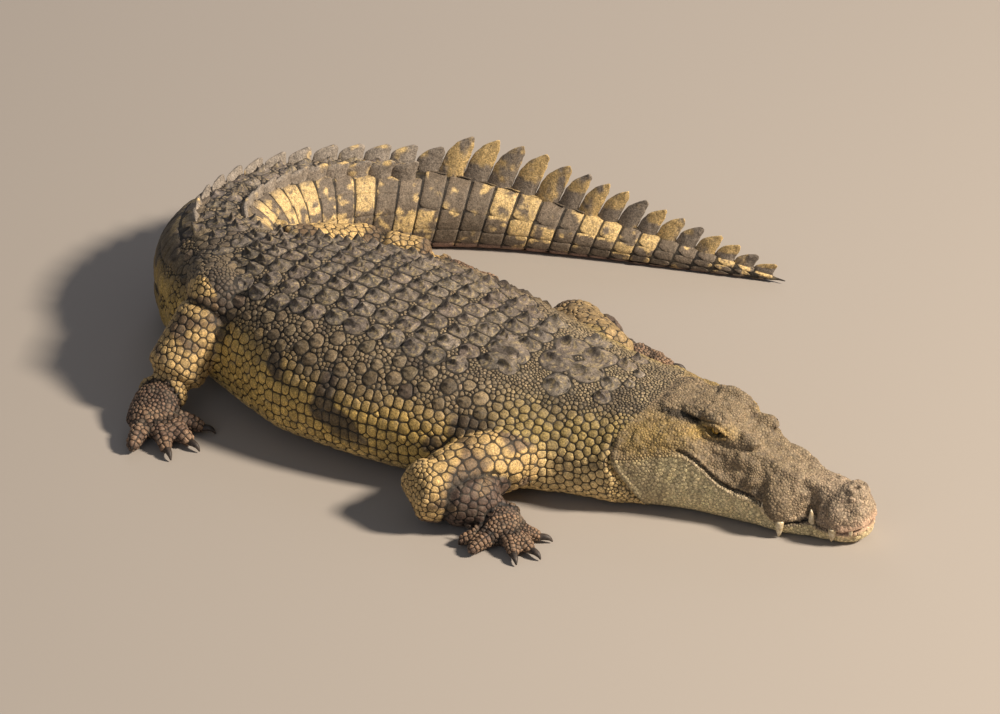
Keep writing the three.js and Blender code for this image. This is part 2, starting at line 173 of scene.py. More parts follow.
def smooth(low: float, high: float, value: Array) -> Array:
    """Eases from 0 at low to 1 at high."""
    t = np.clip((value - low) / (high - low), 0, 1)
    return t * t * (3 - 2 * t)


def bell(value: Array, width: float) -> Array:
    """Returns a bump that is 1 at zero and fades over the given width."""
    return np.exp(-((value / width) ** 2))


def window(value: Array, low: Sequence[float], high: Sequence[float]) -> Array:
    """Returns 1 between two limits, easing in over the pair of low values and out over the high pair."""
    return smooth(low[0], low[1], value) * (1 - smooth(high[0], high[1], value))


def mix(first: Array, second: Array, share: Array) -> Array:
    """Blends one colour, or one for each place, into another by a share for each place."""
    return first + (second - first) * share[:, None]


def unit(vectors: Array) -> Array:
    """Scales each row of an array to length one."""
    return vectors / np.maximum(np.linalg.norm(vectors, axis=-1, keepdims=True), 1e-9)


def rounded(value: Array, power: Array) -> Array:
    """Squares off a sine or cosine so that a section is fuller than an ellipse."""
    return np.sign(value) * np.abs(value) ** (2 / power)


def frame_point(raw: Array) -> Array:
    """Moves millimetre places of the CAD source to metres in the frame."""
    return (raw - np.array([CENTRE[0], CENTRE[1], 0.0])) * MM


def raw_point(points: Array) -> Array:
    """Moves frame places in metres back to the CAD source's millimetres."""
    return points / MM + np.array([CENTRE[0], CENTRE[1], 0.0])


@dataclass(frozen=True)
class Noise:
    """Smooth random values on a lattice, the same each run."""

    seed: int

    def _corner(self, cell: Array) -> Array:
        """Gives each lattice corner its own value from 0 to 1.

        Args:
            cell: corners of the lattice.

        Returns:
            Values from 0 to 1.
        """
        mixed = cell[..., 0] * 374761393 + cell[..., 1] * 668265263 + cell[..., 2] * 2147483647
        mixed = (mixed + self.seed * 1274126177) & 0xFFFFFFFF
        mixed = ((mixed ^ (mixed >> 13)) * 1274126177) & 0xFFFFFFFF
        return ((mixed ^ (mixed >> 16)) & 0xFFFF) / 65535.0

    def __call__(self, points: Array) -> Array:
        """Samples the noise.

        Args:
            points: an array of places, three numbers each, in lattice cells.

        Returns:
            One value from 0 to 1 for each place.
        """
        base = np.floor(points).astype(np.int64)
        part = points - base
        part = part * part * (3 - 2 * part)
        total = np.zeros(len(points))
        for dx in (0, 1):
            for dy in (0, 1):
                for dz in (0, 1):
                    near = np.abs(np.array([1 - dx, 1 - dy, 1 - dz]) - part).prod(axis=1)
                    total += near * self._corner(base + np.array([dx, dy, dz]))
        return total

    def layered(self, points: Array, octaves: int = 3) -> Array:
        """Adds finer layers of the noise at half the strength each.

        Args:
            points: places, in lattice cells.
            octaves: how many layers.

        Returns:
            Values from 0 to 1.
        """
        total, weight, strength = np.zeros(len(points)), 0.0, 1.0
        for i in range(octaves):
            total += strength * self(points * 2 ** i + 17.3 * i)
            weight += strength
            strength *= 0.5
        return total / weight


class Curve:
    """A smooth line through knots that never swings past them."""

    def __init__(self, knots: Sequence[tuple[float, float]]) -> None:
        """Works out the slope at each knot.

        Args:
            knots: places and the line's values there.
        """
        self.at = np.array([k[0] for k in knots], float)
        self.value = np.array([k[1] for k in knots], float)
        slopes = np.diff(self.value) / np.diff(self.at)
        inner = slopes[:-1] * slopes[1:]
        total = np.where(np.abs(slopes[:-1] + slopes[1:]) < 1e-12, 1, slopes[:-1] + slopes[1:])
        tangents = np.where(inner <= 0, 0, 2 * inner / total)
        self.tangent = np.concatenate([[slopes[0]], tangents, [slopes[-1]]])

    def __call__(self, place: Array) -> Array:
        """Returns the line's value at each place.

        Args:
            place: the places.

        Returns:
            The values.
        """
        x = np.clip(np.asarray(place, float), self.at[0], self.at[-1])
        i = np.clip(np.searchsorted(self.at, x, side="right") - 1, 0, len(self.at) - 2)
        width = self.at[i + 1] - self.at[i]
        t = (x - self.at[i]) / width
        rest = 1 - t
        return (
            self.value[i] * rest * rest * (1 + 2 * t) + self.tangent[i] * width * t * rest * rest
            + self.value[i + 1] * t * t * (3 - 2 * t) - self.tangent[i + 1] * width * t * t * rest
        )


def tone(code: str) -> Array:
    """Declares a colour field by its sRGB hex value."""
    return field(default_factory=lambda: shade(code))


def noise_field(seed: int) -> Noise:
    """Declares a field of noise by its seed."""
    return field(default_factory=lambda: Noise(seed))


def curve_field(knots: Sequence[tuple[float, float]]) -> Curve:
    """Declares a field with a smooth line through knots."""
    return field(default_factory=lambda: Curve(knots))


class Rows:
    """Arrays of equal length, one row for each place or scale, that are picked from together."""

    def keep(self, chosen: Array) -> "Rows":
        """Returns the chosen rows only."""
        return type(self)(*[getattr(self, one.name)[chosen] for one in fields(self)])


def point_tree(points: Array) -> KDTree:
    """Returns a search tree of points.

    Args:
        points: the points.

    Returns:
        The tree, which gives their numbers.
    """
    tree = KDTree(len(points))
    for number, point in enumerate(points):
        tree.insert(point, number)
    tree.balance()
    return tree


# ---------- the animal's shape ----------
@dataclass
class BodyShape:
    """The spine and the sections swept along it, as in the CAD source."""

    heading: Curve = curve_field(HEADING)
    half_width: Curve = curve_field(HALF_WIDTH)
    top: Curve = curve_field(TOP_HEIGHT)
    widest: Curve = curve_field(WIDEST)
    back: Curve = curve_field(BACK_ROUNDNESS)
    skull_width: Curve = curve_field(SKULL_WIDTH)
    skull_top: Curve = curve_field(SKULL_TOP)
    skull_back: Curve = curve_field(SKULL_ROUNDNESS)
    jaw_width: Curve = curve_field(JAW_WIDTH)
    mouth: Curve = curve_field(MOUTH_HEIGHT)
    chin: Curve = curve_field(JAW_CHIN_LIFT)
    crest: Curve = curve_field(CREST_HEIGHT)

    def __post_init__(self) -> None:
        """Walks the spine backwards from the snout in short steps."""
        steps = np.arange(0, BODY_LENGTH, SPINE_STEP) + SPINE_STEP / 2
        strides = -SPINE_STEP * self.forward(steps)
        start = np.array([[SNOUT_TIP[0], SNOUT_TIP[1]]])
        self.spine = np.concatenate([start, start + np.cumsum(strides, axis=0)])

    def forward(self, along: Array) -> Array:
        """Returns the spine's direction on the floor, towards the snout."""
        angle = np.radians(self.heading(along))
        return np.stack([np.cos(angle), np.sin(angle)], axis=-1)

    def place(self, along: Array, aside: Array, height: Array) -> Array:
        """Returns raw places, in millimetres, for positions on the animal.

        Args:
            along: distances from the snout.
            aside: offsets to the left.
            height: heights over the floor.

        Returns:
            Raw places.
        """
        step = np.clip(np.asarray(along, float) / SPINE_STEP, 0, len(self.spine) - 1.001)
        i = np.floor(step).astype(int)
        t = (step - i)[..., None]
        ground = self.spine[i] * (1 - t) + self.spine[i + 1] * t
        forward = self.forward(along)
        x = ground[..., 0] - forward[..., 1] * aside
        y = ground[..., 1] + forward[..., 0] * aside
        return np.stack([x, y, np.broadcast_to(height, x.shape)], axis=-1)

    def spot(self, along: float, aside: float, height: float) -> Array:
        """Returns the raw place of one position on the animal."""
        return self.place(np.array([along]), np.array([aside]), np.array([height]))[0]

    def backward(self, along: Array) -> Array:
        """Returns the level direction towards the tail's tip."""
        forward = self.forward(along)
        return np.stack([-forward[:, 0], -forward[:, 1], np.zeros(len(forward))], axis=-1)

    def section(self, along: Array, angle: Array, inset: Array) -> tuple[Array, Array]:
        """Returns the offset and height of the body's outline.

        Args:
            along: distance from the snout.
            angle: from the left side, over the top.
            inset: how far the outline is drawn in for the scales.

        Returns:
            Offsets to the left, and heights.
        """
        top = self.top(along) - inset
        widest = self.top(along) * self.widest(along)
        up = np.sin(angle)
        power = np.where(up >= 0, self.back(along), BELLY_ROUNDNESS)
        reach = np.where(up >= 0, top - widest, widest + BELLY_PRESS)
        half = np.maximum(self.half_width(along) - inset, 6.0)
        height = np.maximum(2.0, widest + reach * rounded(up, power))
        return half * rounded(np.cos(angle), power), height

    def locate(self, raw: Array) -> tuple[Array, Array]:
        """Finds the place on the spine that each point belongs to.

        Args:
            raw: points in the CAD source's millimetres.

        Returns:
            Distances from the snout, and offsets to the left.
        """
        along_all = np.arange(len(self.spine)) * SPINE_STEP
        width = np.where(along_all < HEAD_END, 150 + along_all * 0.13, self.half_width(along_all))
        index = np.zeros(len(raw), int)
        for start in range(0, len(raw), 20000):
            part = raw[start:start + 20000, None, :2] - self.spine[None]
            far = np.linalg.norm(part, axis=-1) / np.maximum(width, 40)[None]
            index[start:start + 20000] = far.argmin(axis=1)
        along = along_all[index]
        delta = raw[:, :2] - self.spine[index]
        forward = self.forward(along)
        ahead = (delta * forward).sum(axis=1)
        aside = delta[:, 1] * forward[:, 0] - delta[:, 0] * forward[:, 1]
        return np.clip(along - ahead, -40, BODY_LENGTH), aside

    def roll(self, along: Array, aside: Array, height: Array) -> Array:
        """Returns the angle round the body from its left side, over the top.

        Args:
            along: distances from the snout.
            aside: offsets to the left.
            height: heights over the floor.

        Returns:
            Angles in radians.
        """
        middle = np.where(along < HEAD_END, self.mouth(along), self.top(along) * self.widest(along))
        half = np.where(along < HEAD_END, self.jaw_width(along), self.half_width(along))
        reach = np.where(height > middle, np.maximum(self.top(along) - middle, 20), np.maximum(middle, 10))
        return np.arctan2((height - middle) / reach, aside / np.maximum(half, 10))


SHAPE = BodyShape()


def crest_rows() -> list[tuple[float, float]]:
    """Returns the middle and the length of each ring of the tail."""
    span = (BODY_LENGTH - TRUNK_END) / TAIL_LENGTHS
    rows = []
    for number, count in enumerate(CREST_PER_LENGTH):
        step = span / count
        rows += [(TRUNK_END + number * span + (i + 0.5) * step, step) for i in range(count)]
    return rows


def whorl_lean(along: Array) -> Array:
    """Returns how far the rings of the tail lean back for each unit of height."""
    return np.interp(along, [2400, 3900], [0.14, 0.42])


def new_mesh(work: bmesh.types.BMesh, name: str) -> bpy.types.Object:
    """Turns a bmesh to an object at the origin and frees the bmesh.

    Args:
        work: the bmesh.
        name: the object's name.

    Returns:
        The object, in the scene.
    """
    mesh = bpy.data.meshes.new(name)
    work.to_mesh(mesh)
    work.free()
    piece = bpy.data.objects.new(name, mesh)
    bpy.context.scene.collection.objects.link(piece)
    return piece


def coordinates(mesh: bpy.types.Mesh) -> Array:
    """Reads a mesh's vertices as an array.

    Args:
        mesh: the mesh.

    Returns:
        Its vertices, three numbers each.
    """
    flat = np.zeros(len(mesh.vertices) * 3, np.float32)
    mesh.vertices.foreach_get("co", flat)
    return flat.reshape(-1, 3).astype(float)


def write_coordinates(mesh: bpy.types.Mesh, points: Array) -> None:
    """Writes an array back to a mesh's vertices."""
    mesh.vertices.foreach_set("co", points.astype(np.float32).ravel())
    mesh.update()


def vertex_normals(mesh: bpy.types.Mesh) -> Array:
    """Reads a mesh's vertex normals as an array.

    Args:
        mesh: the mesh.

    Returns:
        Its normals, three numbers each.
    """
    flat = np.zeros(len(mesh.vertices) * 3, np.float32)
    mesh.vertex_normals.foreach_get("vector", flat)
    return flat.reshape(-1, 3).astype(float)


def face_outward(work: bmesh.types.BMesh) -> None:
    """Turns the faces of a closed shape outward, after its vertices have been moved."""
    work.normal_update()
    bmesh.ops.recalc_face_normals(work, faces=work.faces)
    if work.calc_volume(signed=True) < 0:
        bmesh.ops.reverse_faces(work, faces=work.faces)


def loft(rows: int, sides: int, place: Callable[[Array, Array], Array]) -> bmesh.types.BMesh:
    """Bends a grid into a closed tube with filled ends.

    Args:
        rows: steps along the tube.
        sides: steps round it.
        place: gives raw places for shares of the length and angles round it.

    Returns:
        The closed tube, in metres in the frame.
    """
    work = bmesh.new()
    bmesh.ops.create_grid(work, x_segments=rows, y_segments=sides, size=0.5)
    flat = np.array([v.co[:2] for v in work.verts])
    points = frame_point(place(flat[:, 0] + 0.5, (flat[:, 1] + 0.5) * 2 * math.pi))
    for vert, point in zip(work.verts, points):
        vert.co = point
    bmesh.ops.remove_doubles(work, verts=work.verts, dist=1e-5)
    bmesh.ops.holes_fill(work, edges=[e for e in work.edges if e.is_boundary], sides=0)
    face_outward(work)
    return work


def arc_length(across: Array, high: Array) -> Array:
    """Returns the distance along an outline, from its first point to each of them."""
    return np.concatenate([[0], np.cumsum(np.hypot(np.diff(across), np.diff(high)))])


def rail(points: Sequence[Sequence[float]]) -> Callable[[Array], Array]:
    """Returns a smooth line through three points, by its share of length.

    Args:
        points: the points.

    Returns:
        A function from shares of the length to places.
    """
    a, b, c = np.array(points, float)
    bend = 2 * b - (a + c) / 2
    return lambda t: ((1 - t) ** 2)[:, None] * a + (2 * t * (1 - t))[:, None] * bend + (t ** 2)[:, None] * c


def join_part(whole: bmesh.types.BMesh, part: bmesh.types.BMesh) -> Array:
    """Adds a part to a bmesh and frees the part.

    Args:
        whole: the bmesh that takes it.
        part: the part.

    Returns:
        The part's vertices, in metres in the frame.
    """
    mesh = bpy.data.meshes.new("part")
    part.to_mesh(mesh)
    part.free()
    points = coordinates(mesh)
    whole.from_mesh(mesh)
    bpy.data.meshes.remove(mesh)
    return points


def tube(points: Sequence[Sequence[float]], radii: Sequence[float], rows: int, sides: int,
         flatness: float = 1.0, inset: float = 0.0, cap: float = 0.55) -> bmesh.types.BMesh:
    """Makes a limb length along a smooth line.

    Args:
        points: the line's points, in raw millimetres.
        radii: radii at even steps along it.
        rows: steps along the length.
        sides: steps round it.
        flatness: height of the section over its width.
        inset: how far it is drawn in for the scales.
        cap: how far the ends close.

    Returns:
        The closed tube, in metres in the frame.
    """
    line = rail(points)
    radius_at = Curve([(i / (len(radii) - 1), r) for i, r in enumerate(radii)])

    def place(share: Array, angle: Array) -> Array:
        """Returns places on the limb's outline.

        Args:
            share: shares of the length.
            angle: angles round it.

        Returns:
            Raw places.
        """
        centre = line(share)
        back = unit(line(np.clip(share - 0.01, 0, 1)) - line(np.clip(share + 0.01, 0, 1)))
        left = unit(np.cross(UP, back))
        top = unit(np.cross(back, left))
        end = np.minimum(share, 1 - share) * rows
        radius = (radius_at(share) - inset) * np.where(end < 0.5, cap, 1.0)
        centre = centre + left * (np.cos(angle) * radius)[:, None]
        centre = centre + top * (np.sin(angle) * radius * flatness)[:, None]
        centre[:, 2] = np.maximum(centre[:, 2], 2.0)
        return centre

    return loft(rows, sides, place)


class Region(Enum):
    """The parts of the animal that differ in their scales and colours."""

    HEAD = 0
    NECK = 1
    TRUNK = 2
    TAIL = 3
    LIMB = 4
    FOOT = 5


@dataclass
class LimbShape:
    """One leg: its line from the body to the foot, and its toes."""

    name: str
    joints: Sequence[tuple[float, float, float]]
    foot: tuple[float, float, float]
    toes: Sequence[tuple[float, float]]
    front: bool
    # Mean radii of the stretches of the leg, and of a toe, for finding what is near them.
    stretch_radii: tuple[float, float, float] = (94.0, 78.0, 56.0)
    toe_radius: float = 34.0

    def leg_points(self) -> Array:
        """Returns the line from root to ankle."""
        return np.array(self.joints, float)

    def sole_points(self) -> Array:
        """Returns the line from ankle to the roots of the toes."""
        start, middle = np.array(self.joints[2], float), np.array(self.foot, float)
        return np.array([start, middle, [*(middle * 1.6 - start * 0.6)[:2], middle[2] * 0.75]])

    def toe_points(self, index: int) -> Array:
        """Returns the line of one toe.

        Args:
            index: the toe's number, from the inside.

        Returns:
            Its root, knuckle and tip.
        """
        radii = TOE_RADII[self.front]
        tip = np.array([*self.toes[index], radii[2] * 0.8])
        base = np.array([self.foot[0], self.foot[1], self.foot[2] * 0.85])
        root = base + (tip - base) * 0.2
        knuckle = root + (tip - root) * 0.55 + np.array([0.0, 0.0, radii[0] * 0.35])
        return np.array([root, knuckle, tip])

    def lengths(self, inset: float) -> list[bmesh.types.BMesh]:
        """Returns all the closed lengths of the leg.

        Args:
            inset: how far they are drawn in for the scales.

        Returns:
            The lengths, in metres in the frame.
        """
        upper, lower = UPPER_RADII[self.front], LOWER_RADII[self.front]
        root, middle, end = self.leg_points()
        knee = [middle * 0.96 + root * 0.04, middle, middle + (end - middle) * 0.06]
        toe_radii = TOE_RADII[self.front]
        return [
            tube([root, (root + middle) / 2, middle], upper, 10, 20, inset=inset),
            tube([middle, (middle + end) / 2, end], lower, 10, 20, inset=inset),
            tube(knee, (upper[2], upper[2] + 2, lower[0]), 6, 20, inset=inset, cap=0.72),
            tube(self.sole_points(), FOOT_RADII[self.front], 8, 18, FOOT_FLATNESS, inset),
            *(tube(self.toe_points(i), toe_radii, 10, 12, inset=inset * 0.4) for i in range(len(self.toes))),
        ]

    def bones(self) -> list[tuple[Array, Array, float, bool]]:
        """Returns the leg's straight stretches: ends, mean radius, and whether it is foot."""
        root, middle, end = self.leg_points()
        upper, lower, sole = self.stretch_radii
        sole_end = self.sole_points()[2]
        spans = [(root, middle, upper, False), (middle, end, lower, False), (end, sole_end, sole, True)]
        toes = [self.toe_points(i) for i in range(len(self.toes))]
        return spans + [(line[0], line[2], self.toe_radius, True) for line in toes]


LEGS = [LimbShape(name, **facts) for name, facts in LIMBS.items()]


def near_span(raw: Array, start: Array, end: Array) -> tuple[Array, Array]:
    """Returns each point's distance from a straight span and its share along it.

    Args:
        raw: the points.
        start: one end.
        end: the other end.

    Returns:
        Distances, and shares.
    """
    span = end - start
    share = np.clip((raw - start) @ span / (span @ span), 0, 1)
    return np.linalg.norm(raw - (start + share[:, None] * span), axis=1), share


def leg_folds(raw: Array) -> Array:
    """Returns how deep each place lies in a fold between two lengths of a leg, from 0 to 1.

    Args:
        raw: the places.

    Returns:
        Depths.
    """
    deep = np.zeros(len(raw))
    for leg in LEGS:
        ratios = [near_span(raw, start, end)[0] / radius for start, end, radius, _ in leg.bones()[:3]]
        for one, two in zip(ratios[:-1], ratios[1:]):
            near = 1 - smooth(1.3, 1.6, np.minimum(one, two))
            deep = np.maximum(deep, near * bell(one - two, 0.07))
    return deep


@dataclass
class Places(Rows):
    """Where each of many points is on the animal."""

    raw: Array
    along: Array
    aside: Array
    height: Array
    roll: Array
    region: Array
    limb: Array
    reach: Array

    @classmethod
    def of(cls, points: Array) -> "Places":
        """Works out the place of each point.

        Args:
            points: points in metres in the frame.

        Returns:
            Their places on the body or on a limb.
        """
        raw = raw_point(points)
        along, aside = SHAPE.locate(raw)
        height = raw[:, 2]
        half = np.where(along < HEAD_END, SHAPE.jaw_width(along), SHAPE.half_width(along))
        off_body = np.abs(aside) / np.maximum(half, 20)
        region = np.full(len(raw), Region.TRUNK.value)
        region[along < NECK_END] = Region.NECK.value
        region[along < HeadShape.crease(height)] = Region.HEAD.value
        region[along > TAIL_START] = Region.TAIL.value
        limb = np.full(len(raw), -1)
        reach = np.zeros(len(raw))
        best = np.maximum(off_body, 0.4)
        for index, leg in enumerate(LEGS):
            total = 0.0
            for start, end, radius, is_foot in leg.bones():
                far, share = near_span(raw, start, end)
                ratio = far / radius
                closer = (ratio < np.minimum(best, LIMB_REACH)) & (off_body > BODY_SHARE)
                best = np.where(closer, ratio, best)
                region = np.where(closer, Region.FOOT.value if is_foot else Region.LIMB.value, region)
                limb = np.where(closer, index, limb)
                reach = np.where(closer, total + share, reach)
                total += 0.0 if is_foot and total >= 2 else 1.0
        return cls(raw, along, aside, height, SHAPE.roll(along, aside, height), region, limb, reach)

    def on(self, region: Region) -> Array:
        """Says which places lie in a region."""
        return self.region == region.value

    def down(self) -> Array:
        """Returns how far round the body a point lies: 0 on the back, 1 at the side, 2 under the belly."""
        return np.abs(np.arctan2(np.cos(self.roll), np.sin(self.roll))) / (math.pi / 2)


@dataclass(frozen=True)
class Bump:
    """A rise on the flank of the head, or a hollow if its rise is negative, in millimetres."""

    rise: float
    along: float
    length: float
    level: float
    depth: float

    def over(self, along: Array, level: Array) -> Array:
        """Returns how far it stands out at each place."""
        return self.rise * bell(along - self.along, self.length) * bell(level - self.level, self.depth)


@dataclass(frozen=True)
class Slit:
    """A straight slit on the flank of the head, from one distance from the snout and height to another."""

    rear: tuple[float, float]
    front: tuple[float, float]

    def locate(self, along: Array, height: Array) -> tuple[Array, Array]:
        """Returns the share along the slit from its rear end, and the height over its line."""
        share = (self.rear[0] - along) / (self.rear[0] - self.front[0])
        return share, height - (self.rear[1] + (self.front[1] - self.rear[1]) * np.clip(share, 0, 1))


@dataclass(frozen=True)
class HeadShape:
    """The features that the skin of the head shows, in millimetres."""

    eye: Slit = Slit((454.0, 256.0), (382.0, 243.0))
    ear: Slit = Slit((572.0, 274.0), (456.0, 261.0))
    lower_fold: Slit = Slit((570.0, 240.0), (384.0, 236.0))
    mouth_corner: float = 500.0
    eye_gap: float = 9.5
    eye_depth: float = 23.0
    # Swellings over the longest upper teeth, then the pinches between them.
    jaw_bumps: tuple[Bump, ...] = (
        Bump(19.0, 220, 27, 92, 40), Bump(11.0, 300, 15, 134, 20), Bump(12.0, 76, 24, 86, 30),
        Bump(-20.0, 139, 13, 76, 54), Bump(-13.0, 266, 10, 120, 40), Bump(-6.0, 102, 7, 88, 30),
    )
    # Muscle of the jaw, cheek, and the hollow under it.
    cheek_bumps: tuple[Bump, ...] = (
        Bump(9.0, 600, 44, 176, 46), Bump(6.0, 530, 34, 232, 18), Bump(-6.0, 500, 40, 212, 8),
    )
    jaw_hollow: Bump = Bump(-9.0, 262, 34, -22, 20)
    lid_swelling: Bump = Bump(2.0, 415, 44, 25, 9)
    tear_swelling: Bump = Bump(4.0, 372, 13, 252, 16)

    @staticmethod
    def over_mouth(at: Places) -> Array:
        """Returns the height over the line of the mouth."""
        return at.height - SHAPE.mouth(at.along)

    @staticmethod
    def crease(height: Array) -> Array:
        """Returns how far back the fold behind the jaw lies, by height."""
        return 572 + 74 * smooth(0, 190, height) - 46 * smooth(215, 285, height)

    def eye_opening(self, share: Array) -> Array:
        """Returns half the gap between the lids along the eye's slit."""
        return self.eye_gap * np.clip(1 - ((2 * share - 1.16) / 0.78) ** 2, 0, 1)

    def in_eye(self, at: Places) -> Array:
        """Says which places lie in the opening of an eye.

        Args:
            at: the places.

        Returns:
            True or false for each.
        """
        share, over = self.eye.locate(at.along, at.height)
        inside = (share > 0) & (share < 1) & (np.abs(at.aside) > 45)
        return inside & (np.abs(over + 0.5) < self.eye_opening(share) + 1.8)

    def lips(self, along: Array, height: Array, over_mouth: Array) -> Array:
        """Returns the relief of the mouth's line, its rims and the swellings of the upper jaw.

        Args:
            along: distances from the snout.
            height: heights over the floor.
            over_mouth: heights over the line of the mouth.

        Returns:
            Offsets along the normals.
        """
        rear = smooth(230, 300, along)
        groove = -(8.0 + 5.0 * rear) * bell(over_mouth, 3.2 + 1.8 * rear)
        rims = 2.6 * bell(over_mouth - 9, 6) + 2.0 * bell(over_mouth + 9, 6)
        line = (1 - smooth(self.mouth_corner - 25, self.mouth_corner, along)) * (groove + rims)
        return line + smooth(-2, 6, over_mouth) * sum(bump.over(along, height) for bump in self.jaw_bumps)

    def snout(self, along: Array, side: Array, height: Array, up: Array) -> Array:
        """Returns the relief of the snout's long ridges and of the nostrils' slits.

        Args:
            along: distances from the snout.
            side: distances from the middle plane.
            height: heights over the floor.
            up: how far the skin faces up.

        Returns:
            Offsets along the normals.
        """
        ridged = window(along, (90, 150), (360, 430)) * smooth(0.1, 0.5, up)
        out = ridged * (8.0 * bell(side - 0.48 * SHAPE.skull_width(along), 11) - 5.0 * bell(side, 16))
        out += 13.0 * bell(along - 330, 42) * bell(side - 80, 24) * smooth(150, 190, height)
        nose = smooth(0.3, 0.7, up) * bell(along - 40, 60)
        slits = bell(side - (11 + (along - 40) * 0.25), 3.6) * bell(along - 42, 10)
        return out + nose * (3.0 * bell(np.hypot(side - 12, along - 42) - 14, 5) - 8.0 * slits)

    def lids(self, along: Array, height: Array) -> Array:
        """Returns the relief of the lids, the fold under them and the flap of the ear.

        Args:
            along: distances from the snout.
            height: heights over the floor.

        Returns:
            Offsets along the normals.
        """
        share, over = self.eye.locate(along, height)
        half = self.eye_opening(share)
        rim = np.abs(over + 0.5) - half
        hollow = self.eye_depth * (1 - smooth(half, half + 2.4, np.abs(over + 0.5)))
        edges = 5.5 * bell(rim - 5.5, 3.6) - 3.6 * bell(rim - 12.5, 3.0)
        out = window(share, (-0.08, 0.12), (0.9, 1.08)) * (edges - hollow)
        out += self.lid_swelling.over(along, over) + self.tear_swelling.over(along, height)
        share, over = self.lower_fold.locate(along, height)
        fold = -6.0 * bell(over + 4, 3.8) + 5.0 * bell(over - 5, 5) + 2.0 * bell(over + 13, 5)
        out += window(share, (-0.02, 0.3), (0.85, 1.0)) * fold
        share, over = self.ear.locate(along, height)
        flap = -16.0 * bell(over, 4.6) + 8.0 * bell(over - 11, 7) + 2.0 * bell(over + 12, 7)
        return out + window(share, (-0.05, 0.15), (0.85, 1.05)) * flap

    def cheek(self, along: Array, height: Array, over_mouth: Array) -> Array:
        """Returns the relief of the jaw's muscle, the fold behind it and the slack skin of the lower jaw.

        Args:
            along: distances from the snout.
            height: heights over the floor.
            over_mouth: heights over the line of the mouth.

        Returns:
            Offsets along the normals.
        """
        out = sum(bump.over(along, height) for bump in self.cheek_bumps)
        out = out + self.jaw_hollow.over(along, over_mouth)
        fold = along - self.crease(height)
        out += -13.0 * bell(fold, 5.5) + 5.0 * bell(fold + 13, 9) + 3.0 * bell(fold - 14, 9)
        slack = smooth(-10, -30, over_mouth) * smooth(260, 400, along)
        return out + slack * 1.6 * np.sin(along / 5.2 + height / 21) * bell(along - 470, 90)

    def relief(self, along: Array, aside: Array, height: Array, outward: Array) -> Array:
        """Returns how far the skin of the head stands out, in millimetres.

        Args:
            along: distances from the snout.
            aside: offsets to the left.
            height: heights over the floor.
            outward: the skin's normals.

        Returns:
            Offsets along the normals.
        """
        side, up = np.abs(aside), outward[:, 2]
        flank = smooth(0.25, 0.6, 1 - np.abs(up))
        over_mouth = height - SHAPE.mouth(along)
        out = self.lips(along, height, over_mouth) + self.cheek(along, height, over_mouth)
        out += smooth(30, 50, side) * self.lids(along, height)
        return flank * out + self.snout(along, side, height, up)


HEAD = HeadShape()


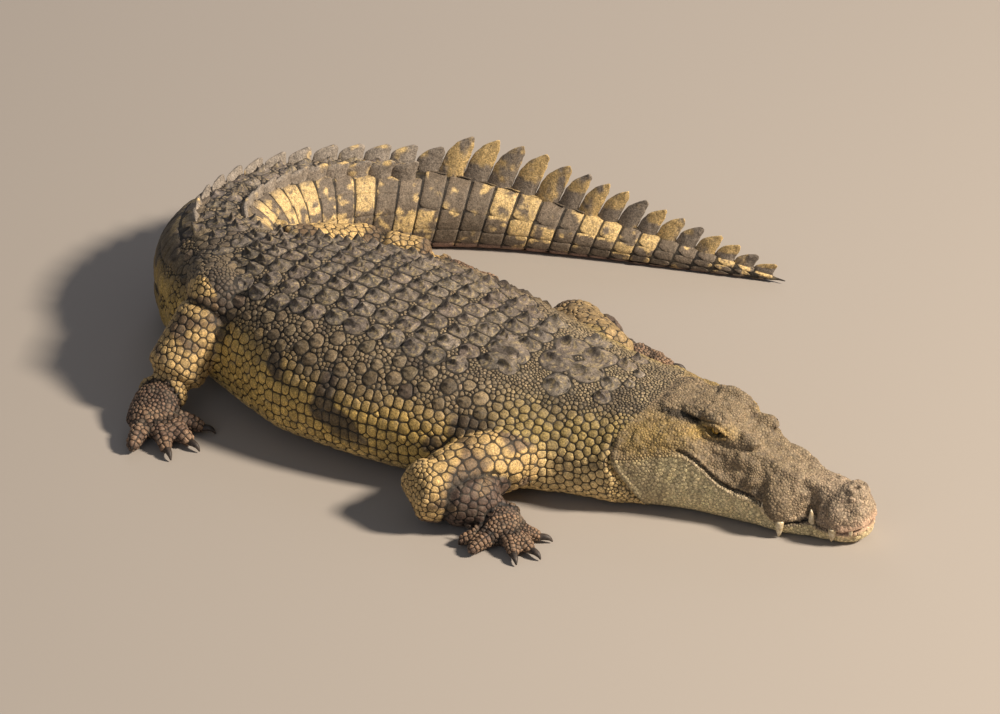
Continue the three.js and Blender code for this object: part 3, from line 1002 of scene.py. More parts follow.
@dataclass
class Markings:
    """The colours of the hide. Skin and scales both take them from here."""

    blotch_noise: Noise = noise_field(SEED)
    dust_noise: Noise = noise_field(SEED + 1)
    tail_noise: Noise = noise_field(SEED + 2)
    back: Array = tone("7c7064")
    back_dark: Array = tone("554a41")
    back_gap: Array = tone("7d6d55")
    scute: Array = tone("69605a")
    flank: Array = tone("c2a158")
    flank_high: Array = tone("736248")
    belly: Array = tone("c8ad78")
    blotch: Array = tone("352b26")
    neck: Array = tone("937e4c")
    tail_side: Array = tone("cdb07a")
    tail_dark: Array = tone("4b4547")
    tail_low: Array = tone("8c6c62")
    slate: Array = tone("75706f")
    rings: Array = field(default_factory=lambda: np.array([a - s / 2 for a, s in crest_rows()]))
    head: Array = tone("86745a")
    cheek: Array = tone("927a48")
    jaw: Array = tone("e0d1a4")
    snout: Array = tone("a5917a")
    lip: Array = tone("cfa88c")
    limb: Array = tone("c2a26a")
    limb_dark: Array = tone("4c3b35")
    foot: Array = tone("806650")
    # Painted shade in the folds of the legs.
    leg_fold_shade: Array = tone("17110d")
    # Painted shade between the toes.
    toe_gap_shade: Array = tone("1c1410")
    eye_ring: Array = tone("c4a25c")
    # Painted shade of the ears' slits and round the eyes' openings.
    slit: Array = tone("1d160f")
    jaw_rim: Array = tone("b9ab93")
    # Painted shade along the mouth's line.
    mouth_line_shade: Array = tone("17110c")
    # Painted shadow over the right side of the tail's root: the gaps and tops of its pleats.
    shaded_pleat_gap: Array = tone("211b15")
    shaded_pleat_top: Array = tone("4e4129")
    pleat_pitch: float = 50.0
    # Bands of the tail by share of its height, and how many of their plates are slate.
    tail_bands: tuple[tuple[float, float, float], ...] = (
        (0.6, 2.0, 0.46), (0.3, 0.6, 0.62), (-1.0, 0.3, 0.9))

    def ring_number(self, along: Array) -> Array:
        """Returns the number of the tail's ring that each place lies in."""
        return np.searchsorted(self.rings, along)

    def trunk(self, at: Places, down: Array, wide: Array) -> Array:
        """Returns the colours of neck and trunk: dusty back, yellow flank with dark blotches, paler belly.

        Args:
            at: the places.
            down: how far round the body each lies.
            wide: noise in wide patches.

        Returns:
            Linear colours.
        """
        ground = np.stack([at.along / 78.0, down * 5.2, np.sign(at.aside) * 5.0], axis=-1)
        spots = self.blotch_noise.layered(ground, 2)
        trunk = mix(self.back_gap, self.flank_high, smooth(0.42, 0.66, down))
        trunk = mix(trunk, self.flank, smooth(0.62, 0.88, down + 0.25 * (wide - 0.5)))
        trunk = mix(trunk, self.belly, smooth(1.15, 1.5, down))
        dark = smooth(0.55, 0.66, spots) * window(down, (0.3, 0.5), (1.05, 1.3))
        trunk = mix(trunk, self.blotch, dark * 0.85)
        trunk = mix(trunk, self.back_dark, smooth(0.5, 0.75, wide) * (1 - smooth(0.4, 0.7, down)) * 0.6)
        neck = mix(self.neck, self.back, (1 - smooth(0.3, 0.62, down)) * 0.6)
        # The neck's underside takes the belly's cream, brightened by a fifth as painted light on this
        # downward-facing side.
        neck = mix(neck, self.belly * 1.2, smooth(0.7, 1.0, down) * 0.9)
        neck = mix(neck, self.blotch, smooth(0.6, 0.72, spots) * 0.5 * (1 - smooth(0.85, 1.1, down)))
        return mix(neck, trunk, smooth(860, 1040, at.along))

    def tail(self, at: Places, down: Array) -> Array:
        """Returns the colours of the tail: cream sides with slate blotches in bands, and painted shadow over
        the right side of its pleated root, darkest in the pleats' gaps.

        Args:
            at: the places.
            down: how far round the body each lies.

        Returns:
            Linear colours.
        """
        top = SHAPE.top(at.along)
        level = at.height / np.maximum(top, 10)
        whorl = self.ring_number(at.along - whorl_lean(at.along) * (level - 0.4) * top)
        bias = np.zeros(len(down))
        for low, high, share in self.tail_bands:
            draw = (np.sin(whorl * 12.9898 + low * 78.233) * 43758.5453) % 1.0
            often = share * (0.7 + 0.5 * smooth(2500, 3000, at.along))
            bias = np.where((level > low) & (level <= high), np.where(draw < often, 0.15, -0.1), bias)
        mottle = self.tail_noise.layered(at.raw / 24.0, 3)
        specks = self.tail_noise(at.raw / 6.0 + 40.0)
        patch = np.clip(smooth(0.47, 0.57, mottle + bias) + 0.6 * smooth(0.72, 0.82, specks), 0, 1)
        tail = mix(self.tail_side, self.tail_dark, patch * 0.85)
        tail = mix(tail, self.tail_low, (1 - smooth(0.06, 0.2, level)) * 0.8)
        tail = mix(tail, self.back * 0.9, (1 - smooth(0.24, 0.42, down)) * (1 - smooth(2500, 2900, at.along)))
        # Painted shadow over the right side of the tail's root, darker still in the pleats' gaps as painted
        # shade.
        pleat = 0.5 + 0.5 * np.sin(at.along * 2 * math.pi / self.pleat_pitch)
        outer = mix(self.shaded_pleat_gap, self.shaded_pleat_top, pleat * 0.8)
        return mix(tail, outer, (at.aside < 0) * (1 - smooth(2180, 2330, at.along)) * smooth(0.4, 0.6, down))

    def skull(self, at: Places, dust: Array, wide: Array) -> Array:
        """Returns the colours of the head: dusty skull, yellow cheek and lids, pale jaw, and painted shade in
        the ears' slits, round the eyes' openings and along the mouth's line.

        Args:
            at: the places.
            dust: noise in small patches.
            wide: noise in wide patches.

        Returns:
            Linear colours.
        """
        along, height, side = at.along, at.height, np.abs(at.aside)
        over = HEAD.over_mouth(at)
        head = mix(self.head, self.snout, (1 - smooth(60, 260, along)) * 0.8)
        cheek = bell(along - 560, 90) * bell(height - 225, 42) * smooth(70, 110, side)
        head = mix(head, self.cheek, np.clip(cheek * 1.2, 0, 0.9))
        eye = bell(along - 425, 52) * bell(height - 248, 15) * smooth(45, 65, side)
        head = mix(head, self.eye_ring, np.clip(eye * 1.25, 0, 0.9))
        share, rise = HEAD.eye.locate(along, height)
        # Painted shade round the opening between the lids.
        margin = bell(np.abs(rise + 0.5) - HEAD.eye_opening(share) - 1.0, 2.2) * (side > 45)
        head = mix(head, self.slit, margin * window(share, (-0.05, 0.1), (0.95, 1.1)) * 0.8)
        jaw = mix(self.jaw, self.belly, bell(over + 8, 7) * 0.6 * smooth(130, 240, along))
        folds = 0.5 + 0.5 * np.sin(along / 6.5 + height / 30 + 5 * wide)
        jaw = mix(jaw, self.belly, 0.3 * folds * smooth(0.45, 0.7, dust) + 0.15)
        under = (1 - smooth(-14, -4, over)) * (1 - smooth(HEAD.mouth_corner, 540, along) * 0.5)
        head = mix(head, jaw, under)
        head = mix(head, self.lip, (1 - smooth(20, 110, along)) * bell(over - 2, 20) * 0.8)
        head = mix(head, self.jaw_rim, bell(over + 9, 9) * window(along, (150, 230), (430, 490)) * 0.42)
        # Painted shade in the groove of the shut mouth.
        shut = window(along, (105, 150), (HEAD.mouth_corner - 60, HEAD.mouth_corner))
        head = mix(head, self.mouth_line_shade, shut * (1 - smooth(3.0, 6.0, np.abs(over - 1))) * 0.92)
        # Painted shadow in the ear's slit, under its flap.
        share, rise = HEAD.ear.locate(along, height)
        ear = window(share, (-0.05, 0.1), (0.95, 1.1)) * (side > 55)
        head = mix(head, self.slit, ear * (1 - smooth(3.5, 8.0, np.abs(rise + 1))) * 0.85)
        return mix(head, self.blotch, smooth(0.6, 0.74, self.blotch_noise.layered(at.raw / 22.0)) * 0.4)

    def legs(self, at: Places) -> tuple[Array, Array]:
        """Returns the colours of the legs, barred and dark below, and of the feet, with painted shade between
        the toes.

        Args:
            at: the places.

        Returns:
            Linear colours of a leg and of a foot, for every place.
        """
        bars = np.stack([at.reach * 4.2, at.raw[:, 2] / 70, at.raw[:, 0] / 120], axis=-1)
        bars = self.blotch_noise.layered(bars, 2)
        limb = mix(self.limb, self.limb_dark, smooth(0.47, 0.57, bars - 0.045 * (at.limb > 1)) * 0.8)
        limb = mix(limb, self.limb_dark, smooth(1.0, 1.35, at.reach) * np.where(at.limb < 2, 0.8, 0.1))
        # Painted shade: the left foreleg, on the far side, is darkened halfway towards the back's dark.
        limb = mix(limb, self.back_dark, np.where(at.limb == 1, 0.5, 0.0))
        foot = mix(self.foot, self.limb_dark, smooth(0.5, 0.65, bars) * 0.6)
        # Painted shade in the gaps between the toes.
        toes = np.full(len(at.raw), 9.0)
        for leg in LEGS:
            for i in range(len(leg.toes)):
                line = leg.toe_points(i)
                toes = np.minimum(toes, near_span(at.raw, line[1], line[2])[0] / TOE_RADII[leg.front][1])
        return limb, mix(foot, self.toe_gap_shade, window(toes, (1.1, 1.3), (1.6, 2.0)) * 0.8)

    def colours(self, at: Places) -> Array:
        """Returns the hide's colour at each place.

        Args:
            at: the places.

        Returns:
            Linear colours, three numbers each.
        """
        down = at.down()
        dust = self.dust_noise.layered(at.raw / 34.0)
        wide = self.dust_noise.layered(at.raw / 140.0)
        on_tail = smooth(1900, 2250, at.along) * smooth(0.25, 0.6, down + (at.along - 1900) / 1500)
        colour = mix(self.trunk(at, down, wide), self.tail(at, down), on_tail)
        colour = np.where(at.on(Region.HEAD)[:, None], self.skull(at, dust, wide), colour)
        limb, foot = self.legs(at)
        colour = np.where(at.on(Region.LIMB)[:, None], limb, colour)
        colour = np.where(at.on(Region.FOOT)[:, None], foot, colour)
        # Painted shade in the folds between a leg's lengths.
        colour = mix(colour, self.leg_fold_shade, leg_folds(at.raw) * (at.limb >= 0) * 0.85)
        return colour * (0.82 + 0.36 * dust)[:, None]


MARKINGS = Markings()


def paint(mesh: bpy.types.Mesh, colours: Array) -> None:
    """Stores one colour for each vertex in the attribute that the materials read.

    Args:
        mesh: the mesh.
        colours: linear colours.
    """
    layer = mesh.attributes.new("Tint", "FLOAT_COLOR", "POINT")
    full = np.concatenate([np.clip(colours, 0, 1), np.ones((len(colours), 1))], axis=1)
    layer.data.foreach_set("color", full.astype(np.float32).ravel())


# ---------- materials ----------
def add(tree: bpy.types.NodeTree, kind: str, settings: Optional[dict] = None,
        **links: object) -> bpy.types.Node:
    """Adds a node, sets it up and links its inputs.

    Args:
        tree: the node tree.
        kind: the node's type name, without the prefix that all shader nodes have.
        settings: attributes to set, and input values under input names or numbers.
        links: the sockets to take, under input names with spaces as underscores, or i and the input's number.

    Returns:
        The new node.
    """
    node = tree.nodes.new(f"ShaderNode{kind}")
    for key, value in (settings or {}).items():
        if isinstance(key, int) or key in node.inputs:
            node.inputs[key].default_value = value
        else:
            setattr(node, key, value)
    for key, socket in links.items():
        numbered = key[0] == "i" and key[1:].isdigit()
        tree.links.new(socket, node.inputs[int(key[1:]) if numbered else key.replace("_", " ")])
    return node


def from_to(low: float, high: float, least: float, most: float) -> dict[str, float]:
    """Returns the settings of a map range node: the values it reads from, and those it gives."""
    return {"From Min": low, "From Max": high, "To Min": least, "To Max": most}


@dataclass(frozen=True)
class Finish:
    """A material under its name. Each kind of finish adds its own nodes."""

    name: str

    def nodes(self, tree: bpy.types.NodeTree, place: bpy.types.NodeSocket) -> bpy.types.Node:
        """Adds the finish's nodes to an empty tree and returns its shader."""
        raise NotImplementedError

    def noise(self, tree: bpy.types.NodeTree, place: bpy.types.NodeSocket, size: float, detail: float,
              rough: float = 0.5) -> bpy.types.Node:
        """Adds a noise texture by the size of its grains in millimetres, and returns it."""
        settings = {"Scale": 1 / (size * MM), "Detail": detail, "Roughness": rough}
        return add(tree, "TexNoise", settings, Vector=place)

    def build(self) -> bpy.types.Material:
        """Returns the material."""
        material = bpy.data.materials.new(self.name)
        material.use_nodes = True
        tree = material.node_tree
        tree.nodes.clear()
        shader = self.nodes(tree, add(tree, "TexCoord").outputs["Object"])
        add(tree, "OutputMaterial", Surface=shader.outputs["BSDF"])
        return material


@dataclass(frozen=True)
class HideFinish(Finish):
    """Dry scaly hide: the attribute's colours with fine dust, pores and wrinkles.

    Keratin that has dried in the sun is matt and scatters light widely, so the eye sees soft broad lights,
    grey dust on the crowns of the scales, a tone darker in the wrinkles' hollows and lighter on their ridges,
    and no sharp glint.
    """

    roughness: float = 0.62
    pore_mm: float = 2.2
    wrinkle_mm: float = 8.0
    fleck_mm: float = 3.6
    dust_mm: float = 26.0
    bump: float = 0.7
    bump_mm: float = 2.2
    dust: str = "8f8474"

    def nodes(self, tree: bpy.types.NodeTree, place: bpy.types.NodeSocket) -> bpy.types.Node:
        """Adds the hide's nodes.

        Args:
            tree: the empty node tree.
            place: the place on the piece.

        Returns:
            The shader.
        """
        tint = add(tree, "Attribute", {"attribute_name": "Tint"}).outputs["Color"]
        pores = self.noise(tree, place, self.pore_mm, 3.0).outputs["Fac"]
        wrinkles = self.noise(tree, place, self.wrinkle_mm, 4.0, 0.6).outputs["Fac"]
        flecks = self.noise(tree, place, self.fleck_mm, 2.0, 0.6).outputs["Fac"]
        dust = self.noise(tree, place, self.dust_mm, 5.0, 0.65).outputs["Fac"]
        fleck = add(tree, "MapRange", from_to(0.34, 0.62, 0.5, 1.22), Value=flecks)
        # The tone follows the wrinkles that the bump raises: darker in their hollows, lighter on their
        # ridges.
        wrinkle_tone = add(tree, "MapRange", from_to(0.25, 0.75, 0.62, 1.45), Value=wrinkles)
        grey = add(tree, "MapRange", from_to(0.5, 0.72, 0.0, 0.34), Value=dust)
        tone_factor = add(tree, "Math", {"operation": "MULTIPLY"}, i0=wrinkle_tone.outputs["Result"],
                      i1=fleck.outputs["Result"])
        toned_tint = add(tree, "VectorMath", {"operation": "SCALE"}, i0=tint, Scale=tone_factor.outputs[0])
        dusty = add(tree, "Mix", {"data_type": "RGBA", 7: linear(self.dust)}, i0=grey.outputs["Result"],
                    i6=toned_tint.outputs["Vector"])
        relief = add(tree, "Math", {"operation": "MULTIPLY_ADD", 1: 0.55}, i0=pores, i2=wrinkles)
        bump = add(tree, "Bump", {"Strength": self.bump, "Distance": self.bump_mm * MM},
                   Height=relief.outputs[0])
        rough = add(tree, "MapRange", from_to(0.3, 0.7, self.roughness - 0.1, self.roughness + 0.16),
                    Value=dust)
        return add(tree, "BsdfPrincipled", {"IOR": 1.45}, Base_Color=dusty.outputs[2],
                   Roughness=rough.outputs["Result"], Normal=bump.outputs["Normal"])


@dataclass(frozen=True)
class HornFinish(Finish):
    """Claw horn or tooth ivory, streaked along its length and stained in patches.

    Both are dense and worn smooth, so the eye sees a low sheen over colour that lies in the grain.
    """

    light: str
    dark: str
    roughness: float
    streak_mm: float = 2.0
    stain_mm: float = 9.0

    def nodes(self, tree: bpy.types.NodeTree, place: bpy.types.NodeSocket) -> bpy.types.Node:
        """Adds the horn's nodes.

        Args:
            tree: the empty node tree.
            place: the place on the piece.

        Returns:
            The shader.
        """
        stretched = add(tree, "Mapping", {"Scale": (0.35, 1.0, 1.0)}, Vector=place).outputs["Vector"]
        streaks = self.noise(tree, stretched, self.streak_mm, 4.0).outputs["Fac"]
        stains = self.noise(tree, place, self.stain_mm, 3.0).outputs["Fac"]
        both = add(tree, "Math", {"operation": "MULTIPLY"}, i0=streaks, i1=stains)
        share = add(tree, "MapRange", from_to(0.12, 0.4, 0.0, 1.0), Value=both.outputs[0])
        colour = add(tree, "Mix", {"data_type": "RGBA", 6: linear(self.dark), 7: linear(self.light)},
                     i0=share.outputs["Result"])
        bump = add(tree, "Bump", {"Strength": 0.25, "Distance": 0.5 * MM}, Height=streaks)
        return add(tree, "BsdfPrincipled", {"Roughness": self.roughness, "IOR": 1.54},
                   Base_Color=colour.outputs[2], Normal=bump.outputs["Normal"])


@dataclass(frozen=True)
class EyeFinish(Finish):
    """A moist eye: yellow-green iris with an upright slit pupil, read from the ball's own attribute.

    The film of tears over it is smooth and wet, so the eye sees one small sharp glint on a dark deep ball.
    """

    grain_mm: float = 1.2

    def nodes(self, tree: bpy.types.NodeTree, place: bpy.types.NodeSocket) -> bpy.types.Node:
        """Adds the eye's nodes.

        Args:
            tree: the empty node tree.
            place: the place on the piece.

        Returns:
            The shader.
        """
        tint = add(tree, "Attribute", {"attribute_name": "Tint"}).outputs["Color"]
        flecks = self.noise(tree, place, self.grain_mm, 4.0).outputs["Fac"]
        factor = add(tree, "MapRange", from_to(0.3, 0.7, 0.7, 1.3), Value=flecks)
        colour = add(tree, "VectorMath", {"operation": "SCALE"}, i0=tint, Scale=factor.outputs["Result"])
        wet = {"Roughness": 0.12, "IOR": 1.38, "Coat Weight": 0.8, "Coat Roughness": 0.04}
        return add(tree, "BsdfPrincipled", wet, Base_Color=colour.outputs["Vector"])


def lay_out(mesh: bpy.types.Mesh, where: Array) -> None:
    """Gives a mesh the map that its colours are baked to.

    Args:
        mesh: the mesh.
        where: two coordinates for each vertex.
    """
    corner = np.zeros(len(mesh.loops), np.int32)
    mesh.loops.foreach_get("vertex_index", corner)
    mesh.uv_layers.new(name="OFBake").data.foreach_set("uv", where[corner].astype(np.float32).ravel())


def dress(piece: bpy.types.Object, material: bpy.types.Material) -> None:
    """Gives a piece its material and its body, smooths its faces and reports it.

    Args:
        piece: the piece.
        material: its material.
    """
    piece.data.materials.clear()
    piece.data.materials.append(material)
    piece.data.polygons.foreach_set("use_smooth", np.ones(len(piece.data.polygons), bool))
    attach(piece, "root")
    log.info("%s: %d faces", piece.name, len(piece.data.polygons))


# ---------- skin ----------
@dataclass
class Skin:
    """One skin over the whole animal, drawn in by the depth of the scales."""

    voxel: float = 0.0112
    quick_voxel: float = 0.013
    back_depth: float = 10.0
    side_depth: float = 4.5
    head_depth: float = 2.5
    overlap: float = 30.0
    floor_gap: float = 0.0012
    roof_edge: float = 0.012
    # Depth, place and width of each fold on the side of neck and shoulder.
    neck_folds: tuple[tuple[float, float, float], ...] = (
        (13, 1062, 22), (7, 985, 18), (6, 1010, 14), (4, 800, 14), (4, 870, 16))
    # Place, offset, height and half sizes of the swellings over each eye, before it and behind it.
    swellings: tuple[tuple[float, float, float, tuple[float, float, float]], ...] = (
        (438.0, 56.0, 283.0, (52.0, 27.0, 20.0)), (392.0, 48.0, 226.0, (100.0, 34.0, 18.0)),
        (414.0, 62.0, 245.0, (50.0, 35.0, 27.0)))
    piece: Optional[bpy.types.Object] = None
    tree: Optional[BVHTree] = None

    def body_place(self, share: Array, angle: Array) -> Array:
        """Returns places on the outline of the body behind the head.

        Args:
            share: shares of the length, from the head to the tail's tip.
            angle: angles round it.

        Returns:
            Raw places.
        """
        start = HEAD_END - self.overlap
        along = start + (BODY_LENGTH - start) * share
        inset = self.side_depth + (self.back_depth - self.side_depth) * smooth(0.1, 0.8, np.sin(angle))
        inset = inset * np.clip(SHAPE.half_width(along) / 60, 0.2, 1)
        aside, height = SHAPE.section(along, angle, inset)
        folds = sum(depth * bell(along - middle, width) for depth, middle, width in self.neck_folds)
        base = (along > 1800) & (along < 2150)
        folds = folds + np.where(base, 3.5 * (1 + np.sin(along / 9.5)) * bell(along - 1960, 120), 0)
        flank = smooth(0.0, 0.5, np.cos(angle) ** 2)
        drawn_in = flank * folds / np.maximum(SHAPE.half_width(along), 40)
        return SHAPE.place(along, aside * (1 - drawn_in), height)

    def skull_place(self, share: Array, angle: Array) -> Array:
        """Returns places on the outline of the skull.

        Args:
            share: shares of the length, from the snout back.
            angle: angles round it.

        Returns:
            Raw places.
        """
        along = HEAD_END * share ** 1.6
        floor = SHAPE.mouth(along) - 6
        up = np.maximum(0, np.sin(angle))
        power = SHAPE.skull_back(along)
        half = SHAPE.skull_width(along) - self.head_depth
        aside = half * rounded(np.cos(angle), np.where(up > 0, power, 4))
        height = floor + (SHAPE.skull_top(along) - self.head_depth - floor) * rounded(up, power)
        return SHAPE.place(along, aside, height)

    def jaw_place(self, share: Array, angle: Array) -> Array:
        """Returns places on the outline of the lower jaw.

        Args:
            share: shares of the length, from the chin back.
            angle: angles round it.

        Returns:
            Raw places.
        """
        along = HEAD_END * share ** 1.6
        ceiling = SHAPE.mouth(along)
        bottom = SHAPE.chin(along) + 2.0
        down = np.minimum(0, np.sin(angle))
        half = SHAPE.jaw_width(along) - self.head_depth
        aside = half * rounded(np.cos(angle), np.where(down < 0, JAW_ROUNDNESS, 4))
        height = np.maximum(bottom, ceiling + (ceiling - bottom + JAW_PRESS) * rounded(down, JAW_ROUNDNESS))
        return SHAPE.place(along, aside, height)

    def swelling(self, along: float, aside: float, height: float, size: Sequence[float]) -> bmesh.types.BMesh:
        """Shapes an egg-shaped swelling of the head.

        Args:
            along: its distance from the snout.
            aside: its offset to the left.
            height: its middle's height.
            size: its half sizes.

        Returns:
            The swelling, in metres in the frame.
        """
        work = bmesh.new()
        bmesh.ops.create_icosphere(work, subdivisions=3, radius=1.0)
        centre = frame_point(SHAPE.spot(along, aside, height))
        stretch = Matrix.Diagonal([(s - self.head_depth) * MM for s in size]).to_4x4()
        bmesh.ops.transform(work, matrix=Matrix.Translation(Vector(centre)) @ stretch, verts=work.verts)
        return work

    def roof(self) -> bmesh.types.BMesh:
        """Returns the flat roof of the skull behind the eyes."""
        work = bmesh.new()
        bmesh.ops.create_cube(work, size=1.0)
        for vert in work.verts:
            rear = vert.co.x < 0
            along = TABLE["rear"] - 3 if rear else TABLE["front"]
            half = (TABLE["rear_half"] if rear else TABLE["front_half"]) - self.head_depth
            height = TABLE["top"] - self.head_depth if vert.co.z > 0 else TABLE["bottom"]
            vert.co = frame_point(SHAPE.spot(along, half if vert.co.y > 0 else -half, height))
        bmesh.ops.bevel(work, geom=work.edges, offset=self.roof_edge, affect="EDGES", segments=3, profile=0.5,
                        material=-1)
        face_outward(work)
        return work

    def closed_parts(self) -> Iterable[bmesh.types.BMesh]:
        """Yields every closed part that the skin runs over."""
        yield loft(330, 96, self.body_place)
        yield loft(90, 72, self.skull_place)
        yield loft(90, 72, self.jaw_place)
        for side in (1, -1):
            for along, aside, height, size in self.swellings:
                yield self.swelling(along, side * aside, height, size)
        yield self.swelling(BROW["along"] + 4, 0.0, BROW["height"] - 8, (66.0, 58.0, 24.0))
        yield self.swelling(NOSTRIL["along"], 0, NOSTRIL["height"], NOSTRIL["size"])
        yield self.roof()
        for leg in LEGS:
            yield from leg.lengths(self.side_depth)

    def merge(self) -> bpy.types.Object:
        """Joins the closed parts and wraps them in one closed skin."""
        whole = bmesh.new()
        for part in self.closed_parts():
            join_part(whole, part)
        piece = new_mesh(whole, "skin")
        wrap = piece.modifiers.new("wrap", "REMESH")
        wrap.mode = "VOXEL"
        wrap.voxel_size = self.voxel
        wrap.adaptivity = 0.0
        done = bpy.data.meshes.new_from_object(piece.evaluated_get(bpy.context.evaluated_depsgraph_get()))
        piece.modifiers.clear()
        piece.data = done
        done.name = "skin"
        return piece

    def refine(self, piece: bpy.types.Object, chosen: Callable[[Array], Array]) -> None:
        """Splits the faces of the chosen area once.

        Args:
            piece: the skin.
            chosen: says of raw places whether they lie in the area.
        """
        work = bmesh.new()
        work.from_mesh(piece.data)
        centres = np.array([f.calc_center_median() for f in work.faces])
        wanted = chosen(raw_point(centres))
        edges = {e for f, keep in zip(work.faces, wanted) if keep for e in f.edges}
        bmesh.ops.subdivide_edges(work, edges=list(edges), cuts=1, use_grid_fill=True, smooth=0.0)
        bmesh.ops.triangulate(work, faces=[f for f in work.faces if len(f.verts) > 4])
        work.to_mesh(piece.data)
        work.free()

    def relax(self, mesh: bpy.types.Mesh, times: int, weight: Array) -> None:
        """Smooths the mesh by moving each vertex towards its neighbours and part of the way back.

        Args:
            mesh: the mesh.
            times: how many times.
            weight: how much each vertex takes part.
        """
        ends = np.zeros(len(mesh.edges) * 2, np.int32)
        mesh.edges.foreach_get("vertices", ends)
        a, b = ends.reshape(-1, 2).T
        points = coordinates(mesh)
        size = len(points)
        count = np.bincount(a, minlength=size) + np.bincount(b, minlength=size)
        for _ in range(times):
            for strength in (0.5, -0.44):
                total = np.stack([
                    np.bincount(a, points[b, axis], size) + np.bincount(b, points[a, axis], size)
                    for axis in range(3)], axis=-1)
                points += (total / count[:, None] - points) * (strength * weight)[:, None]
        write_coordinates(mesh, points)

    def build(self) -> None:
        """Builds the skin, sculpts the head and paints the hide."""
        piece = self.merge()
        mesh = piece.data
        log.info("wrapped skin: %d vertices", len(mesh.vertices))
        self.relax(mesh, 4, np.ones(len(mesh.vertices)))
        self.refine(piece, lambda raw: self.on_head(raw) | self.on_feet(raw))
        raw = raw_point(coordinates(mesh))
        back, side = SNOUT_TIP[0] - raw[:, 0], np.abs(raw[:, 1] - SNOUT_TIP[1])
        brows = window(back, (300, 345), (590, 620)) * (1 - smooth(110, 130, side))
        self.relax(mesh, 26, brows * smooth(215, 232, raw[:, 2]))
        self.relax(mesh, 3, np.ones(len(mesh.vertices)))
        self.refine(piece, self.fine_area)
        self.relax(mesh, 2, self.on_head(raw_point(coordinates(mesh))).astype(float))
        self.sculpt(mesh)
        points = coordinates(mesh)
        points[:, 2] = np.maximum(points[:, 2], self.floor_gap)
        write_coordinates(mesh, points)
        at = Places.of(points)
        # The skin's colours, darkened by the painted shade of the grooves between the scales.
        paint(mesh, MARKINGS.colours(at) * self.painted_seam_shade(at)[:, None])
        self.piece = piece
        faces = [tuple(p.vertices) for p in mesh.polygons]
        self.tree = BVHTree.FromPolygons([tuple(p) for p in points], faces)

    def painted_seam_shade(self, at: Places) -> Array:
        """Returns the painted shade of the skin between the scales, which stands for the shade in its
        grooves: dark on the body, less so on the head and lips, and darkest along the mouth's line.

        Args:
            at: the places.

        Returns:
            Factors for the hide's colours.
        """
        head, over = at.on(Region.HEAD), HEAD.over_mouth(at)
        seam = np.where(head, np.where(over < -6, 0.6, 0.7), 0.1)
        lip = (1 - smooth(50, 75, at.along)) * head * bell(over - 2, 16)
        seam = seam + (0.95 - seam) * lip
        return seam * np.where(head & (at.along < HEAD.mouth_corner), 1 - 0.75 * bell(over, 3.0), 1)

    @staticmethod
    def on_head(raw: Array) -> Array:
        """Says which raw places are on the head."""
        return (raw[:, 0] > SNOUT_TIP[0] - 665) & (np.abs(raw[:, 1] - SNOUT_TIP[1]) < 260)

    @staticmethod
    def on_feet(raw: Array) -> Array:
        """Says which raw places are on the feet."""
        left = (raw[:, 1] > 120) & (raw[:, 0] > -470) & (raw[:, 1] < 400)
        return (raw[:, 2] < 70) & ((raw[:, 1] < -690) | left)

    def fine_area(self, raw: Array) -> Array:
        """Says where the head needs its finest mesh: eyes, ears, lips and nose.

        Args:
            raw: raw places.

        Returns:
            True or false for each.
        """
        along, side, height = SNOUT_TIP[0] - raw[:, 0], np.abs(raw[:, 1] - SNOUT_TIP[1]), raw[:, 2]
        head = (along > -20) & (along < 650) & (side < 230)
        eye = (along > 360) & (along < 470) & (height > 215) & (side > 40)
        ear = (along > 455) & (along < 590) & (height > 240) & (side > 60)
        lips = (np.abs(height - SHAPE.mouth(along)) < 16) & (along < 520)
        lips = lips & (side > 0.7 * SHAPE.skull_width(along))
        nose = (along < 80) & (height > 130) & (side < 40)
        return head & (eye | ear | lips | nose)

    def sculpt(self, mesh: bpy.types.Mesh) -> None:
        """Gives the head its lids, lips, ridges and folds.

        Args:
            mesh: the skin's mesh.
        """
        points = coordinates(mesh)
        normals = vertex_normals(mesh)
        raw = raw_point(points)
        along = SNOUT_TIP[0] - raw[:, 0]
        aside = raw[:, 1] - SNOUT_TIP[1]
        head = (along < 700) & (np.abs(aside) < 270)
        out = np.zeros(len(points))
        out[head] = HEAD.relief(along[head], aside[head], raw[head, 2], normals[head])
        rugged = Noise(SEED + 5).layered(raw / 15.0, 3) - 0.5
        lumps = Noise(SEED + 6).layered(raw / 34.0, 2) - 0.5
        skull = head & (raw[:, 2] > SHAPE.mouth(along) + 4) & (along < 600)
        out += np.where(skull, rugged * 11.0 + lumps * 10.0, 0)
        out += np.where(~head, lumps * 2.0 * smooth(60, 180, raw[:, 2]) - 12.0 * leg_folds(raw), 0)
        write_coordinates(mesh, points + normals * (out * MM)[:, None])

    def nearest(self, points: Array) -> tuple[Array, Array]:
        """Returns the nearest places on the skin, and its normals there."""
        found = [self.tree.find_nearest(tuple(p)) for p in points]
        return np.array([f[0] for f in found]), np.array([f[1] for f in found])


# ---------- scales ----------
class Scale(Enum):
    """The kinds of scale, each with its own relief."""

    KEELED = 0
    OVAL = 1
    POLYGON = 2
    PLATE = 3
    GRANULE = 4


